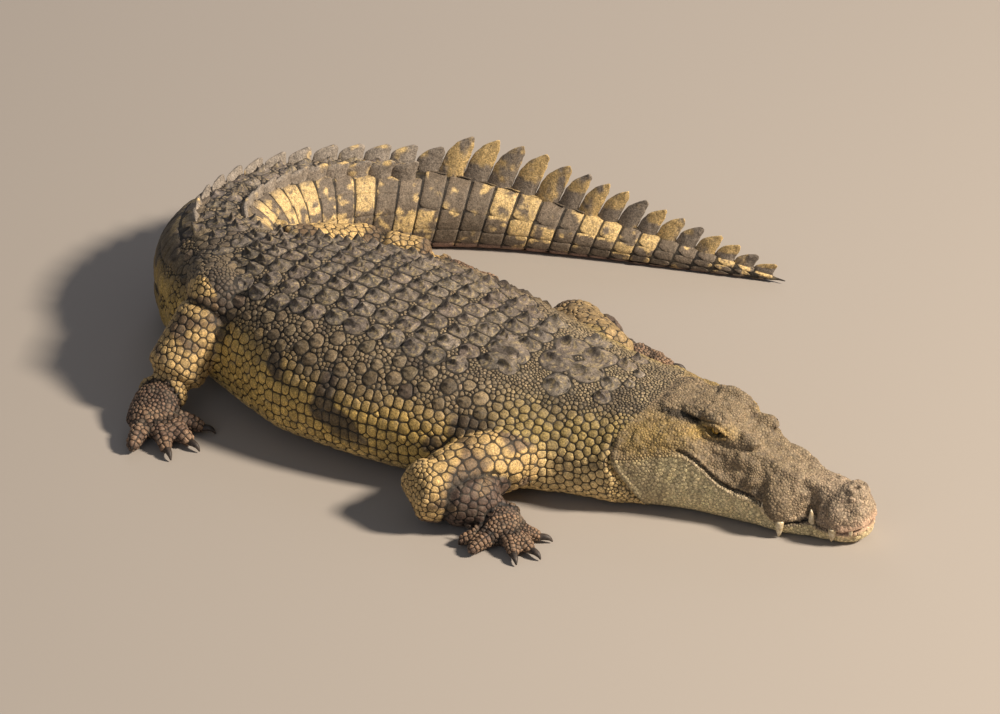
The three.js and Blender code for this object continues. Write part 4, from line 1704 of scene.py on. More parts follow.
@dataclass(frozen=True)
class Relief:
    """The form of one kind of scale.

    Heights are in millimetres. The rings are shares of the scale's reach, from the rim inwards. The edge is
    the power by which the crown falls to the rim, and the lift raises the rear. The painted rim shade is
    painted shade that darkens the colour at the rim, and the rest are shades and roughness.
    """

    sides: int
    rings: tuple[float, ...]
    height: float
    keel: float
    lift: float
    edge: float
    painted_rim_shade: float
    grain: float
    speckle: float

    def faces(self) -> int:
        """Returns how many triangles a scale of this kind has."""
        return len(self.rings) * self.sides * 2 + self.sides

    def disc(self) -> tuple[Array, Array, list[tuple[int, ...]]]:
        """Makes the flat disc of rings that every scale of this kind is shaped from.

        Returns:
            Distance from the middle and angle of each vertex, and the faces.
        """
        work = bmesh.new()
        bmesh.ops.create_circle(work, cap_ends=True, segments=self.sides, radius=1.0)
        inner = list(work.faces)
        for outer, ring in zip((1.0, *self.rings), self.rings):
            bmesh.ops.inset_region(work, faces=inner, use_boundary=True, use_even_offset=True,
                                   thickness=(outer - ring) * math.cos(math.pi / self.sides))
        bmesh.ops.poke(work, faces=inner)
        work.verts.index_update()
        flat = np.array([v.co[:2] for v in work.verts])
        faces = [tuple(v.index for v in f.verts) for f in work.faces]
        work.free()
        levels = np.array([1.0, *self.rings, 0.0])
        level = levels[np.abs(np.linalg.norm(flat, axis=1)[:, None] - levels[None]).argmin(axis=1)]
        return level, np.arctan2(flat[:, 1], flat[:, 0]) - math.pi / 2, faces

    def crown(self, level: Array) -> Array:
        """Returns the height over the skin as a share of the scale's height, below the skin at the rim."""
        return np.where(level > RIM, -0.35, 1 - level ** self.edge)

    def ridge(self, level: Array, angle: Array) -> Array:
        """Returns the keel's form: a ridge along the scale, highest behind the middle.

        Args:
            level: share of the way from the middle to the rim.
            angle: angle from the direction in which the scale points.

        Returns:
            Shares of the keel's height.
        """
        ahead, across = level * np.cos(angle), level * np.sin(angle)
        rising = np.clip((ahead + 0.85) / 1.13, 0, 1) ** 1.4
        falling = np.clip((0.88 - ahead) / 0.6, 0, 1) ** 0.8
        form = np.exp(-((across / 0.17) ** 2)) * np.where(ahead < 0.28, rising, falling)
        return np.where(level > 0.93, 0, form)


RIM = 0.995
RELIEFS = {
    Scale.KEELED: Relief(sides=24, rings=(0.95, 0.85, 0.7, 0.55, 0.4, 0.26, 0.12), height=2.6, keel=19.0,
                         lift=0.4, edge=3.4, painted_rim_shade=0.3, grain=6.5, speckle=0.4),
    Scale.OVAL: Relief(sides=18, rings=(0.93, 0.78, 0.56, 0.3), height=2.8, keel=7.0, lift=0.3,
                       edge=2.6, painted_rim_shade=0.3, grain=2.4, speckle=0.3),
    Scale.POLYGON: Relief(sides=16, rings=(0.93, 0.76, 0.42), height=3.0, keel=0.0, lift=0.3,
                          edge=2.8, painted_rim_shade=0.35, grain=1.3, speckle=0.22),
    Scale.PLATE: Relief(sides=32, rings=(0.975, 0.92, 0.78, 0.62, 0.46, 0.3, 0.14), height=2.4, keel=0.0,
                        lift=0.5, edge=9.0, painted_rim_shade=0.3, grain=1.0, speckle=0.16),
    Scale.GRANULE: Relief(sides=8, rings=(0.88, 0.55), height=1.8, keel=0.0, lift=0.2,
                          edge=2.8, painted_rim_shade=0.5, grain=0.0, speckle=0.0),
}


@dataclass
class Seeds(Rows):
    """Scale roots on the skin, with their direction, size and kind."""

    points: Array
    normals: Array
    lie: Array
    size: Array
    kind: Array
    height: Array
    across: Array

    @classmethod
    def join(cls, groups: Sequence["Seeds"]) -> "Seeds":
        """Joins several groups of seeds."""
        return cls(*[np.concatenate([getattr(group, one.name) for group in groups]) for one in fields(cls)])

    def of(self, *kinds: Scale) -> Array:
        """Says which seeds are of the given kinds."""
        return np.isin(self.kind, [kind.value for kind in kinds])


@dataclass(frozen=True)
class RowPlan:
    """Even rows of scales on the side: where they start and end along the body and round it, and their sizes.

    Places and sizes are in millimetres. Round the body, 0 is the back, 1 the side and 2 the belly's middle.
    """

    kind: Scale
    first: float
    last: float
    pitch: float
    upper: float
    lower: float
    apart: float
    size: float
    height: float
    jitter: float
    stagger: bool


@dataclass
class Coat:
    """Every scale of the hide: where each one roots, its outline and its mesh."""

    skin: Skin
    seeds: Optional[Seeds] = None
    most_faces: int = 190000
    crest_inside: float = 0.3
    tries: int = 260000
    quick_tries: int = 60000
    cell: float = 0.02
    small_share: float = 0.86
    floor_gap: float = 0.0004
    neighbours_seen: int = 22
    full_keel: float = 56.0
    whorls_first: float = 2040.0
    whorls_last: float = 3885.0
    both_sides_from: float = 2250.0
    # Borders between the plates of a ring, by share of the tail's height, under paired and single scutes.
    paired_edges: tuple[float, ...] = (0.93, 0.78, 0.54, 0.3, 0.12, 0.02)
    single_edges: tuple[float, ...] = (0.995, 0.64, 0.36, 0.14, 0.02)
    pit_mm: float = 7.0
    patch: float = 0.0015
    fleck: Array = tone("a8946a")
    # Place, offset and size of the plates on the neck. All stand on both sides.
    neck_plates: tuple[tuple[float, float, float], ...] = (
        (812, 41, 88), (896, 43, 86), (854, 128, 70), (738, 50, 50), (732, 112, 44), (694, 28, 30))
    flank_rows: tuple[RowPlan, ...] = (
        RowPlan(Scale.OVAL, 1010, 1990, 46, 0.46, 0.7, 46, 40, 1.1, 0.22, True),
        RowPlan(Scale.POLYGON, 980, 1990, 27, 0.68, 1.2, 34, 31, 1.0, 0.12, False),
        RowPlan(Scale.POLYGON, 1000, 1990, 32, 1.2, 1.55, 36, 35, 0.9, 0.09, True),
        RowPlan(Scale.PLATE, 700, 1960, 42, 1.58, 2.0, 44, 44, 0.45, 0.03, False),
        RowPlan(Scale.POLYGON, 668, 985, 23, 0.5, 1.55, 26, 26, 0.85, 0.14, True),
    )
    pit_noise: Noise = noise_field(SEED + 3)

    # ----- where the scales root -----
    def settle(self, raw: Array, ahead: Array, size: Array, kind: Scale, height: float = 1.0,
               reach: float = 26.0, across: float = FREE) -> Seeds:
        """Drops planned roots onto the skin.

        Args:
            raw: planned places, in raw millimetres.
            ahead: the direction in which each scale points, towards the tail or the foot.
            size: the scales' size in millimetres.
            kind: the kind of scale.
            height: how high they stand, against the kind's own height.
            reach: how far from the plan the skin may be.
            across: the most that a scale spreads to each side of its lie.

        Returns:
            The seeds that found skin.
        """
        planned = frame_point(raw)
        points, normals = self.skin.nearest(planned)
        good = np.linalg.norm(points - planned, axis=1) < reach * MM
        lie = unit(ahead - normals * (ahead * normals).sum(axis=1)[:, None])
        seeds = Seeds(points, normals, lie, np.broadcast_to(size, len(raw)).astype(float),
                      np.full(len(raw), kind.value), np.full(len(raw), height, float),
                      np.full(len(raw), across))
        return seeds.keep(good)

    def body_rows(self, rows: Array, angles: Callable[[float], Array], size: float, kind: Scale,
                  height: float = 1.0, jitter: float = 0.0, stagger: bool = False, seed: int = 0,
                  across: float = FREE) -> Seeds:
        """Plans scales in rings round the body.

        Args:
            rows: distances of the rings from the snout.
            angles: gives the angles of a ring's scales.
            size: the scales' size.
            kind: the kind of scale.
            height: how high they stand.
            jitter: how far each may stray, as a share of its size.
            stagger: whether every other ring is shifted by half a step.
            seed: the seed of the strays.
            across: the most that a scale spreads up and down.

        Returns:
            The seeds on the skin.
        """
        rng = np.random.default_rng(SEED + seed)
        along_list, angle_list = [], []
        for number, row in enumerate(rows):
            ring = angles(float(row))
            if stagger and number % 2 and len(ring) > 1:
                ring = ring + (ring[1] - ring[0]) / 2
            along_list.append(np.full(len(ring), float(row)))
            angle_list.append(ring)
        along, angle = np.concatenate(along_list), np.concatenate(angle_list)
        along = along + rng.uniform(-jitter, jitter, len(along)) * size
        reach = np.maximum(SHAPE.half_width(along), 60)
        angle = angle + rng.uniform(-jitter, jitter, len(along)) * size / reach
        aside, high = SHAPE.section(along, angle, np.full(len(along), 5.0))
        raw = SHAPE.place(along, aside, high)
        sizes = size * (1 + rng.uniform(-1.4, 1.2, len(along)) * min(jitter, 0.14))
        if kind is Scale.PLATE:
            apart = SHAPE.place(along + 10, aside, high) - SHAPE.place(along - 10, aside, high)
            sizes = sizes * np.linalg.norm(apart, axis=1) / 20
        return self.settle(raw, SHAPE.backward(along), sizes, kind, height, across=across)

    def arc_angles(self, start: float, end: float, step: float) -> Callable[[float], Array]:
        """Spreads angles evenly by distance round the body between two shares of its side.

        Args:
            start: 0 on the back, 1 at the side, 2 under the belly.
            end: the same, further down.
            step: the distance between scales.

        Returns:
            A function from a place along the body to the angles there, on both sides.
        """

        def angles(along: float) -> Array:
            """Returns the angles at one place.

            Args:
                along: the place's distance from the snout.

            Returns:
                Angles on both sides.
            """
            turn = np.linspace(start, end, 60) * math.pi / 2
            aside, high = SHAPE.section(np.full(60, along), math.pi / 2 - turn, np.zeros(60))
            length = arc_length(aside, high)
            count = max(1, int(round(length[-1] / step)))
            picks = np.interp((np.arange(count) + 0.5) / count * length[-1], length, turn)
            return np.concatenate([math.pi / 2 - picks, math.pi / 2 + picks])

        return angles

    def dorsal(self) -> Seeds:
        """Plans the keeled scutes of the back, in even rows that run on into the tail."""
        groups = []
        rows = list(np.arange(985, 1930, 60.0)) + [along for along, _ in crest_rows() if along < CREST_MEET]
        for row in rows:
            half = float(SHAPE.half_width(row))
            lines = 4 if 1100 < row < 1800 else 3 if row < 2100 else 2
            width = half * self.crest_inside / lines if row > 2050 else min(56.0, half * 0.17)
            share = np.clip((np.arange(lines) + 0.5) * width / half, 0, 0.93)
            turn = np.arccos(share ** (SHAPE.back(row) / 2))
            ring = np.concatenate([turn, math.pi - turn])
            groups.append(self.body_rows(np.array([row]), lambda _, r=ring: r, 58.0 if row < 2050 else 50.0,
                                         Scale.KEELED, 1.0 if row < 2100 else 0.8, 0.1, seed=int(row)))
        return Seeds.join(groups)

    def nuchal(self) -> Seeds:
        """Plans the large plates on the neck: four in a square, one at each side, two small rows before."""
        groups = []
        for along, aside, size in self.neck_plates:
            for side in (1, -1):
                raw = SHAPE.spot(float(along), float(side * aside), float(SHAPE.top(along)) - 8)[None]
                ahead = np.array([[-1.0, 0.0, 0.0]])
                groups.append(self.settle(raw, ahead, np.array([float(size)]), Scale.KEELED, 1.1, 40))
        return Seeds.join(groups)

    def flanks(self) -> Seeds:
        """Plans the sides and the belly of neck and trunk, from the back down."""
        groups = []
        for number, row in enumerate(self.flank_rows):
            rows = np.arange(row.first, row.last, row.pitch)
            angles = self.arc_angles(row.upper, row.lower, row.apart)
            groups.append(self.body_rows(rows, angles, row.size, row.kind, row.height, row.jitter,
                                         row.stagger, number + 1))
        return Seeds.join(groups)

    def tail_whorls(self) -> Seeds:
        """Plans the rectangular plates of the tail, a ring for each upright scute, leaning as they do."""
        groups = []
        for along, step in crest_rows():
            if not self.whorls_first < along < self.whorls_last:
                continue
            turn = np.linspace(-math.pi / 2, math.pi / 2, 160)
            aside, high = SHAPE.section(np.full(160, along), turn, np.full(160, 4.0))
            arc, top = arc_length(aside, high), float(SHAPE.top(along))
            edges = np.array(self.paired_edges if along < CREST_MEET else self.single_edges) * top
            cuts = np.interp(edges, np.maximum.accumulate(high), arc)
            for upper, lower in zip(cuts[:-1], cuts[1:]):
                middle = (upper + lower) / 2
                angle, height = float(np.interp(middle, arc, turn)), float(np.interp(middle, arc, high))
                rows = np.array([along + whorl_lean(along) * (height - 0.4 * top)])
                sides = np.array([angle, math.pi - angle] if along > self.both_sides_from else [angle])
                groups.append(self.body_rows(rows, lambda _, r=sides: r, step, Scale.PLATE,
                                             across=(upper - lower) * 0.53))
            if top > 60:
                under = np.array([-math.pi / 2 + 0.45, -math.pi / 2 - 0.45])
                groups.append(self.body_rows(np.array([along - 8.0]), lambda _, r=under: r, step,
                                             Scale.PLATE, 0.5, across=float(SHAPE.half_width(along)) * 0.4))
        pleats = math.pi - np.radians([68, 38, 12, -14, -40, -64])
        groups.append(self.body_rows(np.arange(1990, 2250, 25.0), lambda _: pleats, 30.0, Scale.PLATE, 1.6,
                                     0.03, across=40.0))
        return Seeds.join(groups)

    def leg_rings(self, leg: LimbShape, rng: np.random.Generator) -> Iterable[Seeds]:
        """Plans rings of scales round the upper and the lower length of a leg.

        Args:
            leg: the leg.
            rng: the source of random draws.

        Yields:
            The seeds of each ring.
        """
        root, middle, end = leg.leg_points()
        spans = ((root, middle, UPPER_RADII[leg.front], 36.0 if leg.front else 30.0),
                 (middle, end, LOWER_RADII[leg.front], 23.0))
        for start, stop, radii, pitch in spans:
            length = float(np.linalg.norm(stop - start))
            axis = (stop - start) / length
            left = unit(np.cross(UP, -axis))
            top = np.cross(-axis, left)
            radius_at = Curve([(k / 2, r) for k, r in enumerate(radii)])
            count = int(length / pitch)
            for i in range(count):
                share = (i + 0.5) / count
                radius = float(radius_at(share)) - 4
                around = int(2 * math.pi * radius / (pitch * 1.05))
                turn = np.arange(around) + 0.5 * (i % 2) + rng.uniform(-0.2, 0.2, around)
                turn = turn * 2 * math.pi / around
                reach = share * length + rng.uniform(-0.16, 0.16, around)[:, None] * pitch
                ring = left * np.cos(turn)[:, None] + top * np.sin(turn)[:, None]
                sizes = pitch * rng.uniform(0.8, 1.2, around)
                yield self.settle(start + axis * reach + ring * radius, np.tile(axis, (around, 1)), sizes,
                                  Scale.POLYGON, 0.6, 22)

    def toe_lines(self, leg: LimbShape) -> Iterable[Seeds]:
        """Plans three lines of scales along the top of each toe.

        Args:
            leg: the leg.

        Yields:
            The seeds of each line.
        """
        share = np.linspace(0.1, 0.93, 8)
        for i in range(len(leg.toes)):
            line, radii = leg.toe_points(i), TOE_RADII[leg.front]
            length = float(np.linalg.norm(line[2] - line[0]))
            axis = unit(line[2] - line[0])
            left = unit(np.cross(UP, axis))
            for turn in (-0.95, 0.0, 0.95):
                middle = np.array([np.interp(share, [0, 0.55, 1], line[:, k]) for k in range(3)]).T
                out = left * math.sin(turn) + UP * math.cos(turn)
                on_toe = middle + out * np.interp(share, [0, 0.5, 1], radii)[:, None]
                yield self.settle(on_toe, np.tile(axis, (len(share), 1)), np.full(len(share), length * 0.135),
                                  Scale.POLYGON, 1.0, 22)

    def limb_rows(self) -> Seeds:
        """Plans the scales of the legs, in rings round each length and lines along the toes."""
        rng = np.random.default_rng(SEED + 8)
        return Seeds.join([
            seeds for leg in LEGS for seeds in (*self.leg_rings(leg, rng), *self.toe_lines(leg))])

    def spacing(self, at: Places) -> Array:
        """Returns the distance between small scales at each place.

        Args:
            at: the places.

        Returns:
            Distances in millimetres, zero where there are no small scales.
        """
        down, over = at.down(), HEAD.over_mouth(at)
        head, trunk, tail = at.on(Region.HEAD), at.on(Region.TRUNK), at.on(Region.TAIL) & (at.along > 2040)
        side = trunk & (down > 0.66)
        loose = at.on(Region.NECK) | (trunk & ~side)
        lid = head & (np.hypot(at.along - 414, (at.height - 250) * 2.2) < 40) & (np.abs(at.aside) > 50)
        uneven = self.pit_noise.layered(at.raw / 26.0)
        size = np.full(len(down), 10.5)
        for place, value in ((side, 14.0), (tail & ((down > 0.3) | (at.along > CREST_MEET)), 0.0),
                             (at.on(Region.LIMB), 13.0), (at.on(Region.FOOT), 9.5),
                             (head, 3.6 + 6.6 * uneven), (head & (over < -12), 5.0 + 9.0 * uneven),
                             (loose, 4.0 + 7.5 * uneven), (loose & (down > 0.4), 6.0 + 11.0 * uneven),
                             (lid, 6.0), (head & (at.along < 62) & (np.abs(over - 2) < 13), 0.0)):
            size = np.where(place, value, size)
        return size

    def random_spots(self, rng: np.random.Generator) -> tuple[Array, Array, Array]:
        """Draws places over the whole skin, more of them where the scales are smaller.

        Args:
            rng: the source of random draws.

        Returns:
            Places in metres, the skin's normals there and the sizes of scale wanted, in millimetres.
        """
        mesh = self.skin.piece.data
        mesh.calc_loop_triangles()
        corners = np.zeros(len(mesh.loop_triangles) * 3, np.int32)
        mesh.loop_triangles.foreach_get("vertices", corners)
        a, b, c = coordinates(mesh)[corners.reshape(-1, 3).T]
        cross = np.cross(b - a, c - a)
        wanted = self.spacing(Places.of((a + b + c) / 3))
        area = np.linalg.norm(cross, axis=1) / 2
        chance = np.where(wanted > 0, area / np.maximum(wanted, 1) ** 2, 0)
        total = self.tries
        pick = rng.choice(len(area), total, p=chance / chance.sum())
        u, v = rng.random(total), rng.random(total)
        flip = u + v > 1
        u, v = np.where(flip, 1 - u, u), np.where(flip, 1 - v, v)
        spot = a[pick] + (b - a)[pick] * u[:, None] + (c - a)[pick] * v[:, None]
        return spot, unit(cross[pick]), wanted[pick]

    def choose(self, spot: Array, size: Array, taken: Seeds) -> Array:
        """Picks places one by one, none closer to another scale than their sizes allow.

        Args:
            spot: the places to choose from, in metres.
            size: the size of scale wanted at each, in millimetres.
            taken: the seeds already placed.

        Returns:
            The numbers of the chosen places.
        """
        broad = taken.of(Scale.KEELED)
        room = np.where(broad, 1.14, 0.92) * taken.size
        blocked = np.zeros(len(spot), bool)
        for start in range(0, len(spot), 8000):
            far = np.linalg.norm(spot[start:start + 8000, None] - taken.points[broad][None], axis=-1)
            over = (far - room[broad][None] * 0.5 * MM).min(axis=1)
            blocked[start:start + 8000] = over < size[start:start + 8000] * self.small_share * 0.5 * MM
        boxes: dict[tuple[int, int, int], list[tuple[float, float, float, float]]] = {}
        for point, width in zip(taken.points, room):
            boxes.setdefault(tuple(np.floor(point / self.cell).astype(int)), []).append((*point, width))
        keys = np.floor(spot / self.cell).astype(int)
        near, wide = (
            [(i, j, k) for i in span for j in span for k in span] for span in (range(-1, 2), range(-2, 3)))
        kept = []
        for n in np.flatnonzero(~blocked):
            x, y, z = spot[n]
            kx, ky, kz = keys[n]
            mine = size[n] * self.small_share
            others = (other for i, j, k in (wide if size[n] > 9.9 else near)
                      for other in boxes.get((kx + i, ky + j, kz + k), ()))
            if all((x - ox) ** 2 + (y - oy) ** 2 + (z - oz) ** 2 >= ((mine + width) * 0.5 * MM) ** 2
                   for ox, oy, oz, width in others):
                kept.append(n)
                boxes.setdefault((kx, ky, kz), []).append((x, y, z, mine))
        return np.array(kept)

    def scatter(self, taken: Seeds) -> Seeds:
        """Fills the rest of the skin with small scales, none closer than its own size.

        Args:
            taken: the seeds already placed.

        Returns:
            The new seeds.
        """
        spot, normal, size = self.random_spots(np.random.default_rng(SEED + 9))
        kept = self.choose(spot, size, taken)
        at = Places.of(spot[kept])
        outside = ~(at.on(Region.HEAD) & HEAD.in_eye(at))
        kept, at = kept[outside], at.keep(outside)
        normal, size = normal[kept], size[kept].astype(float)
        lie = self.lie(at)
        lie = unit(lie - normal * (lie * normal).sum(axis=1)[:, None])
        head, over = at.on(Region.HEAD), HEAD.over_mouth(at)
        kind = np.where(head | at.on(Region.FOOT) | (size < 12), Scale.GRANULE.value, Scale.POLYGON.value)
        height = np.where(head & (over < -12), 0.18, np.where(head & (over > 0), 0.25, 0.7))
        return Seeds(spot[kept], normal, lie, size, kind, height, np.full(len(kept), FREE))

    def lie(self, at: Places) -> Array:
        """Returns the direction in which scales point: to the tail on the body, to the foot on a leg.

        Args:
            at: the places.

        Returns:
            Directions of length one.
        """
        lie = SHAPE.backward(at.along)
        for index, leg in enumerate(LEGS):
            root, middle, end = leg.leg_points()
            tip = leg.sole_points()[2]
            axes = np.array([unit(middle - root), unit(end - middle), unit(tip - end)])
            mine = at.limb == index
            lie[mine] = axes[np.clip(at.reach[mine].astype(int), 0, 2)]
        return lie

    def thin(self, seeds: Seeds) -> Seeds:
        """Drops planned seeds that fall too close to an earlier one.

        Args:
            seeds: the planned seeds.

        Returns:
            Those that stay.
        """
        tree = point_tree(seeds.points)
        width = np.minimum(seeds.size, 2 * seeds.across)
        alive = np.ones(len(seeds.points), bool)
        for i, point in enumerate(seeds.points):
            if not alive[i]:
                continue
            for _, j, far in tree.find_range(point, width[i] * 0.62 * MM):
                if j > i and far < (width[i] + width[j]) * 0.31 * MM:
                    alive[j] = False
        return seeds.keep(alive)

    def plan(self) -> None:
        """Plans every scale."""
        planned = Seeds.join([
            self.nuchal(), self.dorsal(), self.tail_whorls(), self.flanks(), self.limb_rows()])
        off_limb = (Places.of(planned.points).limb < 0) | planned.of(Scale.POLYGON)
        planned = self.thin(planned.keep(off_limb))
        extra = self.scatter(planned)
        self.seeds = Seeds.join([planned, extra])
        log.info("scales: %d planned, %d scattered", len(planned.points), len(extra.points))

    # ----- their outlines and meshes -----
    def outlines(self, sides: int, chosen: Array) -> Array:
        """Works out how far each scale reaches in each direction, up to its neighbours.

        Args:
            sides: directions round the scale.
            chosen: indices of the scales.

        Returns:
            Reach in metres, one row for each scale.
        """
        seeds, mine = self.seeds, self.seeds.keep(chosen)
        across = np.cross(mine.normals, mine.lie)
        turn = np.arange(sides) * 2 * math.pi / sides
        rays = np.stack([np.cos(turn), np.sin(turn)], axis=-1)
        index = np.zeros((len(chosen), self.neighbours_seen), int)
        for row, i in enumerate(chosen):
            found = self.neighbours.find_n(seeds.points[i], self.neighbours_seen + 1)
            index[row] = [f[1] for f in found if f[1] != i][:self.neighbours_seen]
        delta = seeds.points[index] - mine.points[:, None]
        flat = unit(np.stack([(delta * mine.lie[:, None]).sum(-1), (delta * across[:, None]).sum(-1)], -1))
        width = mine.size[:, None]
        border = np.linalg.norm(delta, axis=-1) * width / (width + seeds.size[index])
        same_side = (seeds.normals[index] * mine.normals[:, None]).sum(-1) > 0.1
        facing = np.einsum("nkd,sd->nks", flat, rays)
        limit = np.where((facing > 0.08) & same_side[..., None],
                         border[..., None] / np.maximum(facing, 0.08), 9.0)
        plate = mine.of(Scale.PLATE)[:, None]
        broad = mine.of(Scale.PLATE, Scale.KEELED)[:, None]
        ahead, aside = np.maximum(np.abs(np.cos(turn)), 1e-3), np.maximum(np.abs(np.sin(turn)), 1e-3)
        reach = limit.min(axis=1) * (1 + 0.35 * plate * np.abs(np.sin(turn)))
        reach = np.minimum(reach, width * np.where(broad, 1.3, 0.95) * MM)
        reach = np.minimum(reach, mine.across[:, None] * MM / aside)
        softer = reach * 0.6 + 0.2 * (np.roll(reach, 1, axis=1) + np.roll(reach, -1, axis=1))
        reach = np.minimum(reach, np.where(plate, width * 0.5 * MM / ahead, softer))
        gap = np.where(plate, 0.0012, 0.0003 + width * 0.03 * MM)
        return np.maximum(reach - gap, width * 0.12 * MM)

    def grain(self, points: Array, size: float, layered: bool = False, shift: float = 0.0) -> Array:
        """Returns noise at the vertices of many scales.

        Args:
            points: the vertices, in metres in the frame.
            size: the size of the noise's grains in millimetres.
            layered: whether finer layers are added.
            shift: how far the noise is moved, so that it differs from another.

        Returns:
            Values from 0 to 1.
        """
        places = (raw_point(points) / size + shift).reshape(-1, 3)
        values = self.pit_noise.layered(places) if layered else self.pit_noise(places)
        return values.reshape(points.shape[:2])

    def lay(self, kind: Scale, chosen: Array, level: Array, angle: Array, reach: Array) -> Array:
        """Lays the vertices of flat scales on the skin.

        Args:
            kind: the kind of scale.
            chosen: indices of the scales.
            level: share of the way from the middle to the rim, for each vertex of a scale.
            angle: angle of each vertex.
            reach: how far each scale reaches in each direction.

        Returns:
            Vertices in metres, one row for each scale.
        """
        seeds, sides = self.seeds.keep(chosen), reach.shape[1]
        slot = np.round(angle / (2 * math.pi / sides)).astype(int) % sides
        turn = (np.arange(sides) * 2 * math.pi / sides)[None, :, None]
        across = np.cross(seeds.normals, seeds.lie)
        root = seeds.points[:, None]
        edge = root + reach[..., None] * (np.cos(turn) * seeds.lie[:, None] + np.sin(turn) * across[:, None])
        points = root + (edge[:, slot] - root) * level[None, :, None]
        if kind is Scale.PLATE:
            places = self.places.keep(chosen)
            lean = np.where(places.on(Region.TAIL), whorl_lean(places.along), 0)[:, None, None]
            points = points + (points - root)[..., 2:] * lean * seeds.lie[:, None]
        # The smallest scales find the skin at their edges only, and bend evenly between.
        target = edge if kind is Scale.GRANULE else points
        drop = ((self.skin.nearest(target.reshape(-1, 3))[0].reshape(target.shape) - target)
                * seeds.normals[:, None]).sum(-1)
        if kind is Scale.GRANULE:
            drop = drop[:, slot] * level[None] ** 2
        return points + seeds.normals[:, None] * np.clip(drop, -0.025, 0.015)[..., None]

    def stamp(self, kind: Scale, chosen: Array) -> tuple[Array, Array, Array, Array]:
        """Shapes and colours scales of one kind.

        Args:
            kind: the kind.
            chosen: indices of the scales.

        Returns:
            Vertices, faces as vertex indices in a rectangular array padded with -1, colours, and flat patch
            offsets.
        """
        form, seeds = RELIEFS[kind], self.seeds.keep(chosen)
        level, angle, faces = form.disc()
        reach = self.outlines(form.sides, chosen)
        points = self.lay(kind, chosen, level, angle, reach)
        tall = seeds.height[:, None]
        rng = np.random.default_rng(SEED + 30 + kind.value)
        vary = rng.uniform(0.7, 1.25, (len(chosen), 1))
        keel = form.keel * np.minimum(1, seeds.size / self.full_keel)[:, None]
        lift = np.where(level < 0.97, form.lift * level * np.cos(angle), 0)
        body = form.crown(level)[None] * form.height * tall * vary + lift[None] * tall
        body = body + form.ridge(level, angle)[None] * keel * tall * vary
        room = np.clip(reach.mean(axis=1) / (seeds.size * MM * 0.42), 0.35, 1.0)[:, None]
        pits = self.grain(points, self.pit_mm) - 0.5
        step = np.where(tall < 0.3, 0.3, 0.5) * (level < RIM)
        body = (body + np.where(level > 0.9, 0, form.grain)[None] * pits) * room + step
        points = points + seeds.normals[:, None] * (body * MM)[..., None]

        base = self.tints[chosen][:, None]
        if kind in (Scale.PLATE, Scale.POLYGON):
            drawn = MARKINGS.colours(Places.of(points.reshape(-1, 3))).reshape(points.shape)
            base = drawn * np.clip(rng.normal(1.0, 0.1, (len(chosen), 1, 1)), 0.75, 1.25)
        elif kind is Scale.KEELED:
            base = base * np.clip(0.1 + 1.7 * self.grain(points, 16.0, True), 0.3, 1.5)[..., None]
            flecks = smooth(0.6, 0.75, self.grain(points, 4.0, shift=30.0))
            base = base + (self.fleck - base) * (0.6 * flecks)[..., None]
        # Painted shading on each scale: a slight painted highlight on the crown and painted shade at the rim,
        # mostly lifted on the head.
        light = np.interp(level, [0, 0.8, form.rings[0], 1], [1.04, 1.0, 0.86, form.painted_rim_shade])[None]
        light = light + (1 - light) * np.where(self.places.on(Region.HEAD)[chosen], 0.7, 0.0)[:, None]
        # The colour darkens along each keel's ridge.
        worn = 1 - 0.7 * form.ridge(level, angle) * (form.keel > 4)
        colours = base * (light * worn[None] * (1 + form.speckle * 2 * pits))[..., None]

        table = np.full((len(faces), max(len(face) for face in faces)), -1)
        for row, face in enumerate(faces):
            table[row, :len(face)] = face
        return points, table, colours, np.stack([level * np.cos(angle), level * np.sin(angle)], axis=-1)

    @staticmethod
    def unwrap(at: Places) -> Array:
        """Lays the skin out flat: the body by distance and roll, each leg on its own strip.

        Args:
            at: the places.

        Returns:
            Two coordinates each, stretched over the whole of the map.
        """
        u = 0.02 + 0.96 * np.clip(at.along / BODY_LENGTH, 0, 1)
        v = 0.3 + 0.68 * (((at.roll + math.pi / 2) % (2 * math.pi)) / (2 * math.pi))
        on_leg = at.limb >= 0
        turn = np.arctan2(at.raw[:, 1], at.raw[:, 0]) % 1.0
        u = np.where(on_leg, 0.02 + 0.24 * at.limb + 0.075 * np.clip(at.reach, 0, 3), u)
        v = np.where(on_leg, 0.02 + 0.12 * turn + 0.12 * np.clip(at.height / 300, 0, 1), v)
        where = np.stack([u, v], axis=-1)
        low, high = where.min(axis=0), where.max(axis=0)
        return 0.01 + 0.98 * (where - low) / np.maximum(high - low, 1e-6)

